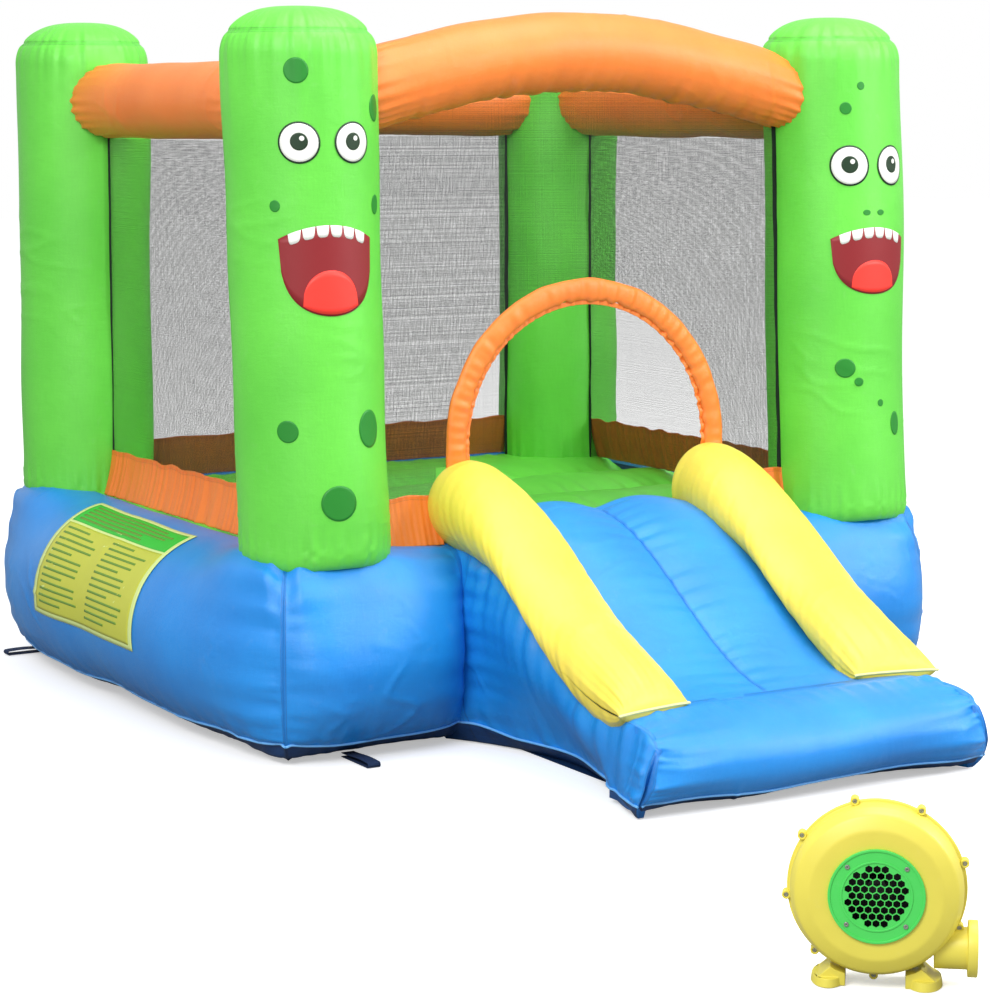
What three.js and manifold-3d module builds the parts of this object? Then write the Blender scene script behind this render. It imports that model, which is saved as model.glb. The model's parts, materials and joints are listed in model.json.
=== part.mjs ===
// Inflatable bounce house with a short slide, and the blower that keeps it up.
// Millimetres, +Z up. -Y is the doorway and slide side, +X is to the right seen from there.
// The origin is on the ground, midway between the four columns.
//
// The house is sewn from coated cloth. Every air chamber is a skin with an air passage in it, so
// one blower fills the base, the slide, the columns and the beams through the sleeve at the back.

import * as THREE from 'three';
import { mergeVertices } from 'three/addons/utils/BufferGeometryUtils.js';
import Module from 'manifold-3d';

const wasm = await Module();
wasm.setup();

// Driving dimensions: house
const houseHeight = 1700;
const columnX = 750; // column centres stand at +-columnX, +-columnY
const columnY = 680;
const columnRadius = 173;
const columnFoot = 466;
const domeHeight = 110;
const cloth = 0.6; // thickness of the coated cloth
const gap = 0.5; // clearance left between two sewn pieces
const columnLean = { // how far each column's top leans in X and Y, at leanHeight
  backLeft: [9, -5], frontLeft: [-25, 4], frontRight: [-25, 26], backRight: [-1, 1],
};
const leanHeight = 1550;

// Driving dimensions: base
const floorCrown = 463; // top of the jump tubes
const floorValley = 428;
const jumpTubes = 4;
const sideTubeX = 800; // crown line of the base's side tubes
const sideTubeFront = 665;
const sideTubeBack = 700;
const sideTubeRadius = 235;
const cornerReachX = 109; // how far the base stands out of its crown lines at a corner seam
const cornerReachFront = 174;
const cornerReachBack = 139;
const groundSheet = 1;

// Driving dimensions: beams, nets and doorway
const beamRadius = 93;
const beamHeight = 1492;
const archEndHeight = 1505;
const archRise = 102;
const archSpan = 620; // where the arch curve would come down to archEndHeight
const netThickness = 0.8;
const skirtTop = 578;
const skirtFoot = 466;
const skirtSpread = 30;
const hoopOuter = 395;
const hoopInner = 341;
const hoopSpring = 676; // height of the centre of the doorway's round top
const hoopFoot = 653;
const hoopDepth = 16;

// Driving dimensions: slide
const slideHalfWidth = 420;
const slideTop = 540; // crown of the slide where it starts
const slideStart = -700;
const slideEnd = -1460;
const landingTop = 200;
const landingFront = -1650;
const lobeHalf = 265; // each lobe runs from the middle out to here
const lobeValley = 30;
const bumperRadius = 85;
const bumperX = 345;
const bumperBack = -573;
const bumperFront = { left: -1530, right: -1480 };
const slideWaist = 345; // half width of the slide's hem where it is narrowest
const slideJoinReach = 135; // how far the base stands out of its crown line beside the slide

// Driving dimensions: back of the base, and anchor loops
const sleeveRadius = 54;
const sleeveX = -350;
const sleeveZ = 78;
const sleeveEnd = 1040;
const strapY = 985;
const zipX = 250;
const zipZ = 235;
const zipLength = 260;
const zipTravel = 210;
const loopLength = 88;
const loopHeight = 13;
const loopWidth = 32;
const strap = 2;
const anchorPlaces = { // X, Y, and the way the loop points in degrees
  front_left: [-712, -812, -90],
  front_right: [880, -742, 0],
  back_left: [-880, 762, 180],
  back_right: [880, 762, 0],
};

// Driving dimensions: blower, in its own frame with its intake towards -Y
const blowerPlace = [-695, -2685];
const blowerTurn = THREE.MathUtils.degToRad(-38.8);
const scrollHeight = 167;
const scrollRadius = 146;
const scrollDepth = 62; // half of the housing's depth
const shell = 2.5;
const inletRadius = 57;
const grilleRadius = 81.5;
const grillePitch = 13.5;
const grilleReach = 50; // cell centres lie inside this radius
const grilleThick = 3;
const ductRadius = 36;
const ductHeight = 65;
const ductEnd = 171;
const flangeRadius = 48.5;
const wheelRadius = 106;
const bladeCount = 14;
const shaftRadius = 5;
const motorRadius = 46;
const rockerY = 92;
const rockerTurn = THREE.MathUtils.degToRad(8);
const boxTop = 86; // above the scroll's centre

// Finishes
const finish = (color, roughness = 0.55, metalness = 0) =>
  new THREE.MeshStandardMaterial({ color, roughness, metalness, side: THREE.FrontSide });
const green = () => finish(0x6fe04a);
const blue = () => finish(0x218cf5, 0.4);
const orange = () => finish(0xff8a3c);
const yellow = () => finish(0xf5e04a);
const netBlack = () => finish(0x2a2a2a, 0.9);
const webbing = () => finish(0x16324f, 0.85);
const blowerShell = () => finish(0xeadf5e, 0.45);
const grilleGreen = () => finish(0x52db62, 0.5);
const blackPlastic = () => finish(0x1a1c1e, 0.5);
const steel = () => finish(0xb8bcc0, 0.35, 1);

const house = new THREE.Group();
const blower = new THREE.Group();
blower.position.set(...blowerPlace, 0);
blower.rotation.z = blowerTurn;
house.add(blower);

function add(parent, name, geometry, material) {
  const mesh = new THREE.Mesh(geometry, material);
  mesh.name = name;
  parent.add(mesh);
  return mesh;
}

const { sin, cos, sqrt, abs, sign, PI } = Math;
const mix = (a, b, t) => a + (b - a) * t;
const clamp = (t, low, high) => Math.min(high, Math.max(low, t));
const steps = (count, make) => Array.from({ length: count + 1 }, (_, i) => make(i / count));

// ---- Geometry helpers ----

// Turns every face round if the body came out inside out.
function outward(geometry) {
  const p = geometry.attributes.position;
  const index = geometry.index.array;
  const [a, b, c] = [new THREE.Vector3(), new THREE.Vector3(), new THREE.Vector3()];
  let volume = 0;
  for (let i = 0; i < index.length; i += 3) {
    a.fromBufferAttribute(p, index[i]);
    b.fromBufferAttribute(p, index[i + 1]);
    c.fromBufferAttribute(p, index[i + 2]);
    volume += a.dot(b.cross(c));
  }
  if (volume < 0) {
    for (let i = 0; i < index.length; i += 3) [index[i], index[i + 1]] = [index[i + 1], index[i]];
  }
  geometry.computeVertexNormals();
  return geometry;
}

function body(points, index) {
  const geometry = new THREE.BufferGeometry();
  const numbers = points.flatMap((q) => q.toArray());
  geometry.setAttribute('position', new THREE.Float32BufferAttribute(numbers, 3));
  geometry.setIndex(index);
  return outward(geometry);
}

// A sheet of cloth: place(u, v) is a point of its outer face, and the inner face lies one thickness
// behind it, along the normal. ring joins the last column of cells to the first.
function sheet(place, across, along, { ring = false, thickness = cloth, flip = false } = {}) {
  const columns = ring ? across : across + 1;
  const small = 1e-4;
  const outer = [];
  const inner = [];
  for (let j = 0; j <= along; j++) {
    for (let i = 0; i < columns; i++) {
      const [u, v] = [i / across, j / along];
      const [u0, u1] = ring ? [u - small, u + small] : [Math.max(0, u - small), Math.min(1, u + small)];
      const [v0, v1] = [Math.max(0, v - small), Math.min(1, v + small)];
      const du = place(u1, v).sub(place(u0, v));
      const dv = place(u, v1).sub(place(u, v0));
      const normal = du.cross(dv).normalize().multiplyScalar(flip ? thickness : -thickness);
      const point = place(u, v);
      outer.push(point);
      inner.push(point.clone().add(normal));
    }
  }
  const half = outer.length;
  const at = (i, j) => j * columns + (i % columns);
  const index = [];
  const quad = (a, b, c, d) => index.push(a, b, c, a, c, d);
  for (let j = 0; j < along; j++) {
    for (let i = 0; i < across; i++) {
      const [a, b, c, d] = [at(i, j), at(i + 1, j), at(i + 1, j + 1), at(i, j + 1)];
      index.push(a, b, c, a, c, d);
      index.push(half + c, half + b, half + a, half + d, half + c, half + a);
    }
  }
  for (let i = 0; i < across; i++) {
    quad(at(i, 0), half + at(i, 0), half + at(i + 1, 0), at(i + 1, 0));
    quad(at(i + 1, along), half + at(i + 1, along), half + at(i, along), at(i, along));
  }
  if (!ring) {
    for (let j = 0; j < along; j++) {
      quad(at(0, j + 1), half + at(0, j + 1), half + at(0, j), at(0, j));
      quad(at(across, j), half + at(across, j), half + at(across, j + 1), at(across, j + 1));
    }
  }
  return body([...outer, ...inner], index);
}

// A turned body about Y, from [radius, y] points.
function turned(profile, segments) {
  const points = profile.map(([r, y]) => new THREE.Vector2(r, y));
  const geometry = new THREE.LatheGeometry(points, segments);
  geometry.deleteAttribute('normal');
  geometry.deleteAttribute('uv');
  return outward(mergeVertices(geometry, 1e-4));
}

// A turned ring whose profile closes on itself.
const turnedRing = (profile, segments) => turned([...profile, profile[0]], segments);

// A flat plate cut to a shape, drawn in X and Y and built up in Z.
function plate(shape, depth, curveSegments = 12) {
  const geometry = new THREE.ExtrudeGeometry(shape, { depth, bevelEnabled: false, curveSegments });
  geometry.deleteAttribute('normal');
  geometry.deleteAttribute('uv');
  return outward(mergeVertices(geometry, 1e-4));
}

// Stands a plate up, so that its drawing's Y becomes Z and it lies across Y from y to y + depth.
function standing(shape, depth, y, curveSegments) {
  return plate(shape, depth, curveSegments).rotateX(PI / 2).translate(0, y + depth, 0);
}

function box(x0, x1, y0, y1, z0, z1) {
  const geometry = new THREE.BoxGeometry(x1 - x0, y1 - y0, z1 - z0);
  return geometry.translate((x0 + x1) / 2, (y0 + y1) / 2, (z0 + z1) / 2);
}

function toSolid(geometry) {
  const bare = geometry.clone();
  bare.deleteAttribute('normal');
  bare.deleteAttribute('uv');
  const merged = mergeVertices(bare, 1e-4);
  return new wasm.Manifold(new wasm.Mesh({
    numProp: 3,
    vertProperties: new Float32Array(merged.attributes.position.array),
    triVerts: new Uint32Array(merged.index.array),
  }));
}

function fromSolid(solid) {
  const mesh = solid.getMesh();
  const geometry = new THREE.BufferGeometry();
  geometry.setAttribute('position', new THREE.BufferAttribute(new Float32Array(mesh.vertProperties), 3));
  geometry.setIndex(new THREE.BufferAttribute(new Uint32Array(mesh.triVerts), 1));
  geometry.computeVertexNormals();
  return geometry;
}

const cut = (geometry, ...tools) =>
  fromSolid(tools.reduce((solid, tool) => solid.subtract(toSolid(tool)), toSolid(geometry)));
const join = (...geometries) =>
  fromSolid(geometries.map(toSolid).reduce((sum, solid) => sum.add(solid)));

// A round bar along Y from y0 to y1, centred at x, z.
const barY = (radius, y0, y1, x = 0, z = 0, segments = 32) =>
  new THREE.CylinderGeometry(radius, radius, y1 - y0, segments).translate(x, (y0 + y1) / 2, z);
const barX = (radius, x0, x1, y = 0, z = 0, segments = 24) =>
  new THREE.CylinderGeometry(radius, radius, x1 - x0, segments).rotateZ(PI / 2)
    .translate((x0 + x1) / 2, y, z);

// ---- The soft frame leans a little: the same shift for everything that stands on the base ----

function lean(x, y, z) {
  const s = (clamp(x / columnX, -1, 1) + 1) / 2;
  const t = (clamp(y / columnY, -1, 1) + 1) / 2;
  const rise = (z - columnFoot) / (leanHeight - columnFoot);
  const part = (k) => rise * mix(
    mix(columnLean.frontLeft[k], columnLean.frontRight[k], s),
    mix(columnLean.backLeft[k], columnLean.backRight[k], s), t);
  return [part(0), part(1)];
}

function leaning(geometry) {
  const p = geometry.attributes.position;
  for (let i = 0; i < p.count; i++) {
    const [dx, dy] = lean(p.getX(i), p.getY(i), p.getZ(i));
    p.setXY(i, p.getX(i) + dx, p.getY(i) + dy);
  }
  geometry.computeVertexNormals();
  return geometry;
}

// ---- Base: round side tubes around a bed of jump tubes ----

// How far the base's side stands out of its crown line at an angle on the round of the side tube:
// a full round in the middle of a side, and a squarer, shallower one at the corner seams.
const tubeMiddle = floorCrown / 2;
const cornerRound = (angle) => Math.max(0, cos(angle)) ** 0.4;
const tubeZ = (angle) => tubeMiddle + tubeMiddle * sin(angle) + gap;
const topAngle = PI / 2;
const footAngle = THREE.MathUtils.degToRad(-85);
const sides = {
  left: { out: [-1, 0], crown: sideTubeX, reach: cornerReachX },
  right: { out: [1, 0], crown: sideTubeX, reach: cornerReachX },
  back: { out: [0, 1], crown: sideTubeBack, reach: cornerReachBack },
  front: { out: [0, -1], crown: sideTubeFront, reach: cornerReachFront },
};
const fullness = (s) => 1 - abs(s) ** 5;
const joinShare = slideHalfWidth / (sideTubeX + cornerReachX);

// A point of a side: s runs from -1 to 1 between its corner seams, in the direction of +X or +Y.
// proud moves it off the cloth, away from the tube's axis.
function sidePoint(name, s, angle, proud = 0) {
  const { out, crown, reach } = sides[name];
  // A front panel ends at the slide, so it is full between its corner seam and that joint.
  const share = name === 'front' ? clamp((abs(s) - joinShare) / (1 - joinShare), 0, 1) * 2 - 1 : s;
  const seamReach = name === 'front' && share < 0 ? slideJoinReach : reach;
  const bulge = mix(seamReach * cornerRound(angle), sideTubeRadius * cos(angle), fullness(share));
  const across = crown + bulge + proud * cos(angle);
  const z = tubeZ(angle) + proud * sin(angle);
  const half = (direction) => (out[0] !== 0
    ? (direction < 0 ? sideTubeFront + cornerReachFront * cornerRound(angle)
      : sideTubeBack + cornerReachBack * cornerRound(angle))
    : sideTubeX + cornerReachX * cornerRound(angle));
  const run = s * (half(sign(s) || 1)) * (1 - 2 * gap / 800);
  return out[0] !== 0
    ? new THREE.Vector3(out[0] * across, run, z)
    : new THREE.Vector3(run, out[1] * across, z);
}

const sideAngle = (v) => mix(topAngle, footAngle, v);
const sidePanel = (name, s0, s1, across) =>
  sheet((u, v) => sidePoint(name, mix(s0, s1, u), sideAngle(v)), across, 10,
    { flip: name === 'right' || name === 'front' });

add(house, 'base_left_side', sidePanel('left', -1, 1, 10), blue());
add(house, 'base_right_side', sidePanel('right', -1, 1, 10), blue());
add(house, 'base_front_left_side', sidePanel('front', -1, -joinShare - 0.002, 4), blue());
add(house, 'base_front_right_side', sidePanel('front', joinShare + 0.002, 1, 4), blue());

// The back side has the hole that the inlet sleeve is sewn to.
add(house, 'base_back_side',
  cut(sidePanel('back', -1, 1, 10), barY(sleeveRadius, 600, 1200, sleeveX, sleeveZ, 20)), blue());

// Jump tubes run from side to side, with a valley where each baffle is sewn.
const bedFront = -sideTubeFront + gap;
const bedWidth = (sideTubeBack + sideTubeFront - 2 * gap) / jumpTubes;
for (let k = 0; k < jumpTubes; k++) {
  // The bed's outer edges stay level with the side tubes.
  const level = (v) => (k === 0 && v < 0.5) || (k === jumpTubes - 1 && v > 0.5);
  const place = (u, v) => new THREE.Vector3(
    mix(-1, 1, u) * (sideTubeX - 2),
    bedFront + (k + mix(0.002, 0.998, v)) * bedWidth,
    level(v) ? floorCrown : mix(floorValley, floorCrown, sin(PI * v) ** 0.8));
  add(house, `jump_tube_${k + 1}`, sheet(place, 2, 8), green());
}

// Baffles tie the valleys down to the ground sheet. Their round holes pass the air.
for (let k = 1; k < jumpTubes; k++) {
  const shape = new THREE.Shape();
  const half = sideTubeX - 12;
  shape.moveTo(-half, groundSheet + gap);
  shape.lineTo(half, groundSheet + gap);
  shape.lineTo(half, floorValley - 4);
  shape.lineTo(-half, floorValley - 4);
  for (const x of [-500, 0, 500]) shape.holes.push(new THREE.Path().absarc(x, 210, 60, 0, 2 * PI));
  add(house, `baffle_${k}`, standing(shape, cloth, bedFront + k * bedWidth - cloth / 2, 6), blue());
}

// The ground sheet is one flat piece under the house and the slide.
const ground = new THREE.Shape();
const groundX = sideTubeX + 12;
const groundSlideX = slideWaist - 12;
ground.moveTo(-groundX, sideTubeBack + 12);
ground.lineTo(-groundX, -sideTubeFront - 12);
ground.lineTo(-groundSlideX, -sideTubeFront - 12);
ground.lineTo(-groundSlideX, slideEnd - 40);
ground.lineTo(groundSlideX, slideEnd - 40);
ground.lineTo(groundSlideX, -sideTubeFront - 12);
ground.lineTo(groundX, -sideTubeFront - 12);
ground.lineTo(groundX, sideTubeBack + 12);
add(house, 'ground_sheet', plate(ground, groundSheet), blue());

// Side label: a printed patch on the left side, following its round.
add(house, 'side_label', sheet(
  (u, v) => sidePoint('left', mix(-0.36, 0.4, u), mix(1.32, -0.14, v), 3), 5, 7), finish(0xd9d56a, 0.6));

// ---- Columns ----

const columnTop = houseHeight - columnFoot;
function columnProfile(radius, top) {
  return steps(5, (t) => [
    radius * sin(t * PI / 2) ** 0.75,
    top - domeHeight + domeHeight * cos(t * PI / 2),
  ]);
}
const columnShape = turned([
  ...columnProfile(columnRadius, columnTop),
  [columnRadius, 0],
  [columnRadius - cloth, 0],
  ...columnProfile(columnRadius - cloth, columnTop - cloth).reverse(),
], 20).rotateX(PI / 2).rotateZ(PI / 20);
const corners = {
  front_left: [-1, -1], front_right: [1, -1], back_left: [-1, 1], back_right: [1, 1],
};
for (const [name, [sx, sy]] of Object.entries(corners)) {
  const geometry = columnShape.clone().translate(sx * columnX, sy * columnY, columnFoot);
  add(house, `column_${name}`, leaning(geometry), green());
}

// ---- Beams: each end is cut to the round of its column, where the air passes ----

const columnReach = (offset) => sqrt(columnRadius ** 2 - offset ** 2) + 3 * gap;
function beam(alongX, place, height) {
  const half = alongX ? columnX : columnY;
  const point = (u, v) => {
    const turn = 2 * PI * u;
    const side = beamRadius * cos(turn);
    const run = mix(-1, 1, v) * (half - columnReach(side));
    const z = height(run) + beamRadius * sin(turn);
    return alongX ? new THREE.Vector3(run, place + side, z) : new THREE.Vector3(place + side, run, z);
  };
  return point;
}
const level = () => beamHeight;
const arch = (x) => archEndHeight + archRise * cos(PI * x / (2 * archSpan));
const beamSheet = (point, along, flip) => leaning(sheet(point, 14, along, { ring: true, flip }));
add(house, 'beam_front_arch', beamSheet(beam(true, -columnY, arch), 8, false), orange());
add(house, 'beam_back', beamSheet(beam(true, columnY, level), 2, false), orange());
add(house, 'beam_left', beamSheet(beam(false, -columnX, level), 2, true), orange());
add(house, 'beam_right', beamSheet(beam(false, columnX, level), 2, true), orange());

// ---- Nets hang in the planes of the column centres ----

const netFoot = columnFoot + 2;
const netHalf = (half) => half - columnRadius - gap;
function netShape(half) {
  const shape = new THREE.Shape();
  shape.moveTo(-half, netFoot);
  shape.lineTo(half, netFoot);
  shape.lineTo(half, beamHeight - beamRadius - gap);
  shape.lineTo(-half, beamHeight - beamRadius - gap);
  return shape;
}
function sideNet(x) {
  const geometry = plate(netShape(netHalf(columnY)), netThickness);
  return leaning(geometry.rotateX(PI / 2).rotateZ(PI / 2).translate(x - netThickness / 2, 0, 0));
}
add(house, 'net_left', sideNet(-columnX), netBlack());
add(house, 'net_right', sideNet(columnX), netBlack());
add(house, 'net_back',
  leaning(standing(netShape(netHalf(columnX)), netThickness, columnY - netThickness / 2)), netBlack());

// The front net is cut out for the doorway hoop, and below it for the slide's bumpers.
const frontNet = new THREE.Shape();
const frontHalf = netHalf(columnX);
const bumperClear = bumperX + bumperRadius + 4;
frontNet.moveTo(-frontHalf, netFoot);
frontNet.lineTo(-bumperClear, netFoot);
frontNet.lineTo(-bumperClear, hoopFoot + 2);
frontNet.lineTo(-hoopOuter - gap, hoopFoot + 2);
frontNet.absarc(0, hoopSpring, hoopOuter + gap, PI, 0, true);
frontNet.lineTo(hoopOuter + gap, hoopFoot + 2);
frontNet.lineTo(bumperClear, hoopFoot + 2);
frontNet.lineTo(bumperClear, netFoot);
frontNet.lineTo(frontHalf, netFoot);
for (const t of steps(10, (s) => mix(1, -1, s))) {
  frontNet.lineTo(t * frontHalf, arch(t * frontHalf) - beamRadius - 2);
}
add(house, 'net_front',
  leaning(standing(frontNet, netThickness, -columnY - netThickness / 2, 16)), netBlack());

// The doorway hoop is a flat stuffed tube round the doorway, standing on the bumpers.
const hoop = new THREE.Shape();
hoop.moveTo(-hoopOuter, hoopFoot);
hoop.lineTo(-hoopOuter, hoopSpring);
hoop.absarc(0, hoopSpring, hoopOuter, PI, 0, true);
hoop.lineTo(hoopOuter, hoopFoot);
hoop.lineTo(hoopInner, hoopFoot);
hoop.absarc(0, hoopSpring, hoopInner, 0, PI, false);
hoop.lineTo(-hoopInner, hoopFoot);
add(house, 'doorway_hoop', leaning(standing(hoop, hoopDepth, -columnY - hoopDepth / 2, 16)), orange());

// Skirts: a low band of cloth outside each net, spread at its foot over the side tube's crown.
function skirt(alongX, place, outSign, from, to) {
  const point = (u, v) => {
    const run = mix(from, to, u);
    const away = place + outSign * mix(3, skirtSpread, v ** 1.5);
    const z = mix(skirtTop, skirtFoot, v);
    return alongX ? new THREE.Vector3(run, away, z) : new THREE.Vector3(away, run, z);
  };
  return leaning(sheet(point, 1, 4, { flip: alongX !== (outSign > 0) }));
}
const skirtY = netHalf(columnY) - gap;
const skirtX = netHalf(columnX) - gap;
add(house, 'skirt_left', skirt(false, -columnX, -1, -skirtY, skirtY), orange());
add(house, 'skirt_right', skirt(false, columnX, 1, -skirtY, skirtY), orange());
add(house, 'skirt_back', skirt(true, columnY, 1, -skirtX, skirtX), orange());
add(house, 'skirt_front_left', skirt(true, -columnY, -1, -skirtX, -bumperClear), orange());
add(house, 'skirt_front_right', skirt(true, -columnY, -1, bumperClear, skirtX), orange());

// ---- Slide ----

// The slide's crown falls from the doorway to the landing along half a cosine wave.
function slideCrown(y) {
  const t = clamp((y - slideStart) / (slideEnd - slideStart), 0, 1);
  return landingTop + (slideTop - landingTop) * (0.5 + 0.5 * cos(PI * t));
}
for (const [name, side] of [['left', -1], ['right', 1]]) {
  const place = (u, v) => {
    const y = mix(-sideTubeFront - 12, slideEnd + 4, v);
    const dip = lobeValley * (1 - sin(PI * u) ** 0.8) * mix(1, 0.25, v);
    return new THREE.Vector3(side * mix(gap, lobeHalf, u), y, slideCrown(y) - dip);
  };
  add(house, `slide_lobe_${name}`, sheet(place, 6, 14, { flip: side > 0 }), blue());
}

// Bumpers ride along both edges of the slide. Each is a skin with its air passage at the back end,
// and is flattened at the far end, where it is sewn shut.
function bumperLine(t, front) {
  const y = mix(bumperBack, front, t);
  const s = clamp((y + 750) / -300, 0, 1);
  const rise = mix(15, 72, s * s * (3 - 2 * s));
  const flat = clamp((t - 0.88) / 0.12, 0, 1);
  return { y, z: slideCrown(y) + mix(rise, 22, flat * flat) };
}
function bumper(side, front) {
  const place = (u, v) => {
    const here = bumperLine(v, front);
    const [before, after] = [bumperLine(v - 0.01, front), bumperLine(v + 0.01, front)];
    const slope = Math.atan2(after.z - before.z, after.y - before.y) + PI;
    const blunt = sqrt(1 - (1 - clamp(v / 0.06, 0.06, 1)) ** 2);
    const flat = clamp((v - 0.88) / 0.12, 0, 1);
    const up = bumperRadius * blunt * mix(1, 0.02, flat ** 1.2) * sin(2 * PI * u);
    return new THREE.Vector3(side * bumperX + bumperRadius * blunt * cos(2 * PI * u),
      here.y + up * sin(slope), here.z + up * cos(slope));
  };
  return sheet(place, 12, 13, { ring: true });
}
add(house, 'bumper_left', bumper(-1, bumperFront.left), yellow());
add(house, 'bumper_right', bumper(1, bumperFront.right), yellow());

// The slide's sides fill the space from the ground up to the bumpers. Their hem draws in to a waist.
const slideSideStart = -sideTubeFront - slideJoinReach - 10;
const waistY = -1100;
const slideHem = (y) => slideWaist + 45 * clamp((waistY - y) / 360, 0, 1) ** 1.6
  + 25 * clamp((y - waistY) / 300, 0, 1) ** 2;
for (const [name, side] of [['left', -1], ['right', 1]]) {
  const place = (u, v) => {
    const y = mix(slideSideStart, slideEnd + 2, u);
    const t = (y - bumperBack) / (bumperFront[name] - bumperBack);
    const slope = (slideCrown(y - 5) - slideCrown(y + 5)) / 10;
    const top = bumperLine(t, bumperFront[name]).z - bumperRadius * sqrt(1 + slope * slope) - 6;
    const z = mix(Math.max(top, 150), groundSheet + gap, v);
    const x = mix(slideHalfWidth - 26, slideHem(y), v * v) + 34 * sin(PI * v);
    return new THREE.Vector3(side * x, y, z);
  };
  add(house, `slide_side_${name}`, sheet(place, 8, 6, { flip: side < 0 }), blue());
}
const slideWeb = new THREE.Shape();
const webStart = -sideTubeFront - 30;
const webEnd = slideEnd + 30;
slideWeb.moveTo(webStart, groundSheet + gap);
slideWeb.lineTo(webEnd, groundSheet + gap);
for (const t of steps(10, (s) => s)) {
  const y = mix(webEnd, webStart, t);
  slideWeb.lineTo(y, slideCrown(y) - lobeValley - 6);
}
for (const y of [-850, -1050]) slideWeb.holes.push(new THREE.Path().absarc(y, 140, 50, 0, 2 * PI));
add(house, 'slide_baffle',
  plate(slideWeb, cloth, 6).rotateX(PI / 2).rotateZ(PI / 2).translate(-cloth / 2, 0, 0), blue());

// The landing pad is a round-fronted skin with two end panels, open towards the slide.
const landingHalf = landingTop / 2 - gap;
const landingDepth = slideEnd - landingFront;
function landingPoint(x, angle, inset = 0) {
  const y = slideEnd - (landingDepth - inset) * cos(angle);
  return new THREE.Vector3(x, y, landingHalf + groundSheet + (landingHalf - inset) * sin(angle));
}
const landingSkin = sheet((u, v) => landingPoint(
  mix(-slideHalfWidth, slideHalfWidth, u), mix(PI / 2, -PI / 2 + 0.16, v)), 2, 12, { flip: true });
function landingEnd(x) {
  const end = new THREE.Shape();
  const outline = steps(12, (t) => landingPoint(0, mix(PI / 2, -PI / 2 + 0.16, t), cloth / 2));
  end.moveTo(slideEnd, outline.at(-1).z);
  for (const q of outline) end.lineTo(q.y, q.z);
  return plate(end, cloth).rotateX(PI / 2).rotateZ(PI / 2).translate(x - cloth / 2, 0, 0);
}
add(house, 'landing_pad',
  join(landingSkin, landingEnd(-slideHalfWidth + 4), landingEnd(slideHalfWidth - 4)), blue());

// ---- Back: inlet sleeve with its tie strap, and the deflation zip ----

const backOut = (x, z) => {
  const angle = Math.asin(clamp((z - gap - tubeMiddle) / tubeMiddle, -1, 1));
  return sidePoint('back', x / (sideTubeX + cornerReachX), angle).y;
};
add(house, 'inlet_sleeve', sheet((u, v) => {
  const turn = 2 * PI * u;
  const [x, z] = [sleeveX + sleeveRadius * cos(turn), sleeveZ + sleeveRadius * sin(turn)];
  return new THREE.Vector3(x, mix(backOut(x, z) + 1, sleeveEnd, v), z);
}, 20, 2, { ring: true, flip: true }), blue());
const [strapInner, strapOuter] = [sleeveRadius + 0.6, sleeveRadius + 2.4];
add(house, 'sleeve_strap', turnedRing(
  [[strapInner, -12], [strapOuter, -12], [strapOuter, 12], [strapInner, 12]], 20)
  .translate(sleeveX, strapY, sleeveZ), webbing());

const zipFace = backOut(zipX, zipZ) + 3;
const zipEnds = [zipX - zipLength / 2, zipX + zipLength / 2];
add(house, 'zip_tape', join(
  box(...zipEnds, zipFace, zipFace + 1.2, zipZ - 17, zipZ + 17),
  box(zipEnds[0] + 6, zipEnds[1] - 6, zipFace + 1, zipFace + 3.5, zipZ - 3, zipZ + 3)),
finish(0x14304f, 0.8));
// The slider closes round the coil from both sides. Its bridge holds the eye of the pull.
const sliderX = zipX - zipTravel / 2;
const sliderBack = zipFace + 1.5;
const slider = join(
  box(-8, 8, 0, 4.6, -7, -3.4), box(-8, 8, 0, 4.6, 3.4, 7), box(-8, 8, 2.4, 4.6, -7, 7),
  box(-5.2, -4, 4, 8.4, -1.2, 1.2), box(4, 5.2, 4, 8.4, -1.2, 1.2), box(-5.2, 5.2, 7.1, 8.4, -1.2, 1.2));
add(house, 'zip_slider', slider.translate(sliderX, sliderBack, zipZ), steel());
const pull = new THREE.Shape();
const pullCorners = [[-28, -3.5], [0.8, -3.5], [0.8, 3.5], [-28, 3.5]];
const eyeCorners = [[-8, -1.9], [-0.8, -1.9], [-0.8, 1.9], [-8, 1.9]];
pull.setFromPoints(pullCorners.map(([x, z]) => new THREE.Vector2(x, z)));
pull.holes.push(new THREE.Path(eyeCorners.map(([x, z]) => new THREE.Vector2(x, z))));
add(house, 'zip_pull', standing(pull, 1.4, -0.7).translate(sliderX, sliderBack + 5.8, zipZ), steel());

// ---- Anchor loops: folded webbing at the four corners, lying on the ground ----

for (const [name, [x, y, degrees]] of Object.entries(anchorPlaces)) {
  const outline = (inset, round) => {
    const [end, r] = [loopLength - inset, loopHeight / 2 - inset];
    round.moveTo(inset, loopHeight - inset);
    round.lineTo(inset, inset);
    round.absarc(end + inset - loopHeight / 2, loopHeight / 2, r, -PI / 2, PI / 2, false);
    return round;
  };
  const shape = outline(0, new THREE.Shape());
  shape.holes.push(outline(strap, new THREE.Path()));
  const geometry = standing(shape, loopWidth, -loopWidth / 2, 5);
  const loop = add(house, `anchor_loop_${name}`, geometry, webbing());
  loop.position.set(x, y, 0);
  loop.rotation.z = THREE.MathUtils.degToRad(degrees);
}

// ---- Blower: two housing halves round a centrifugal wheel ----

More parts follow.
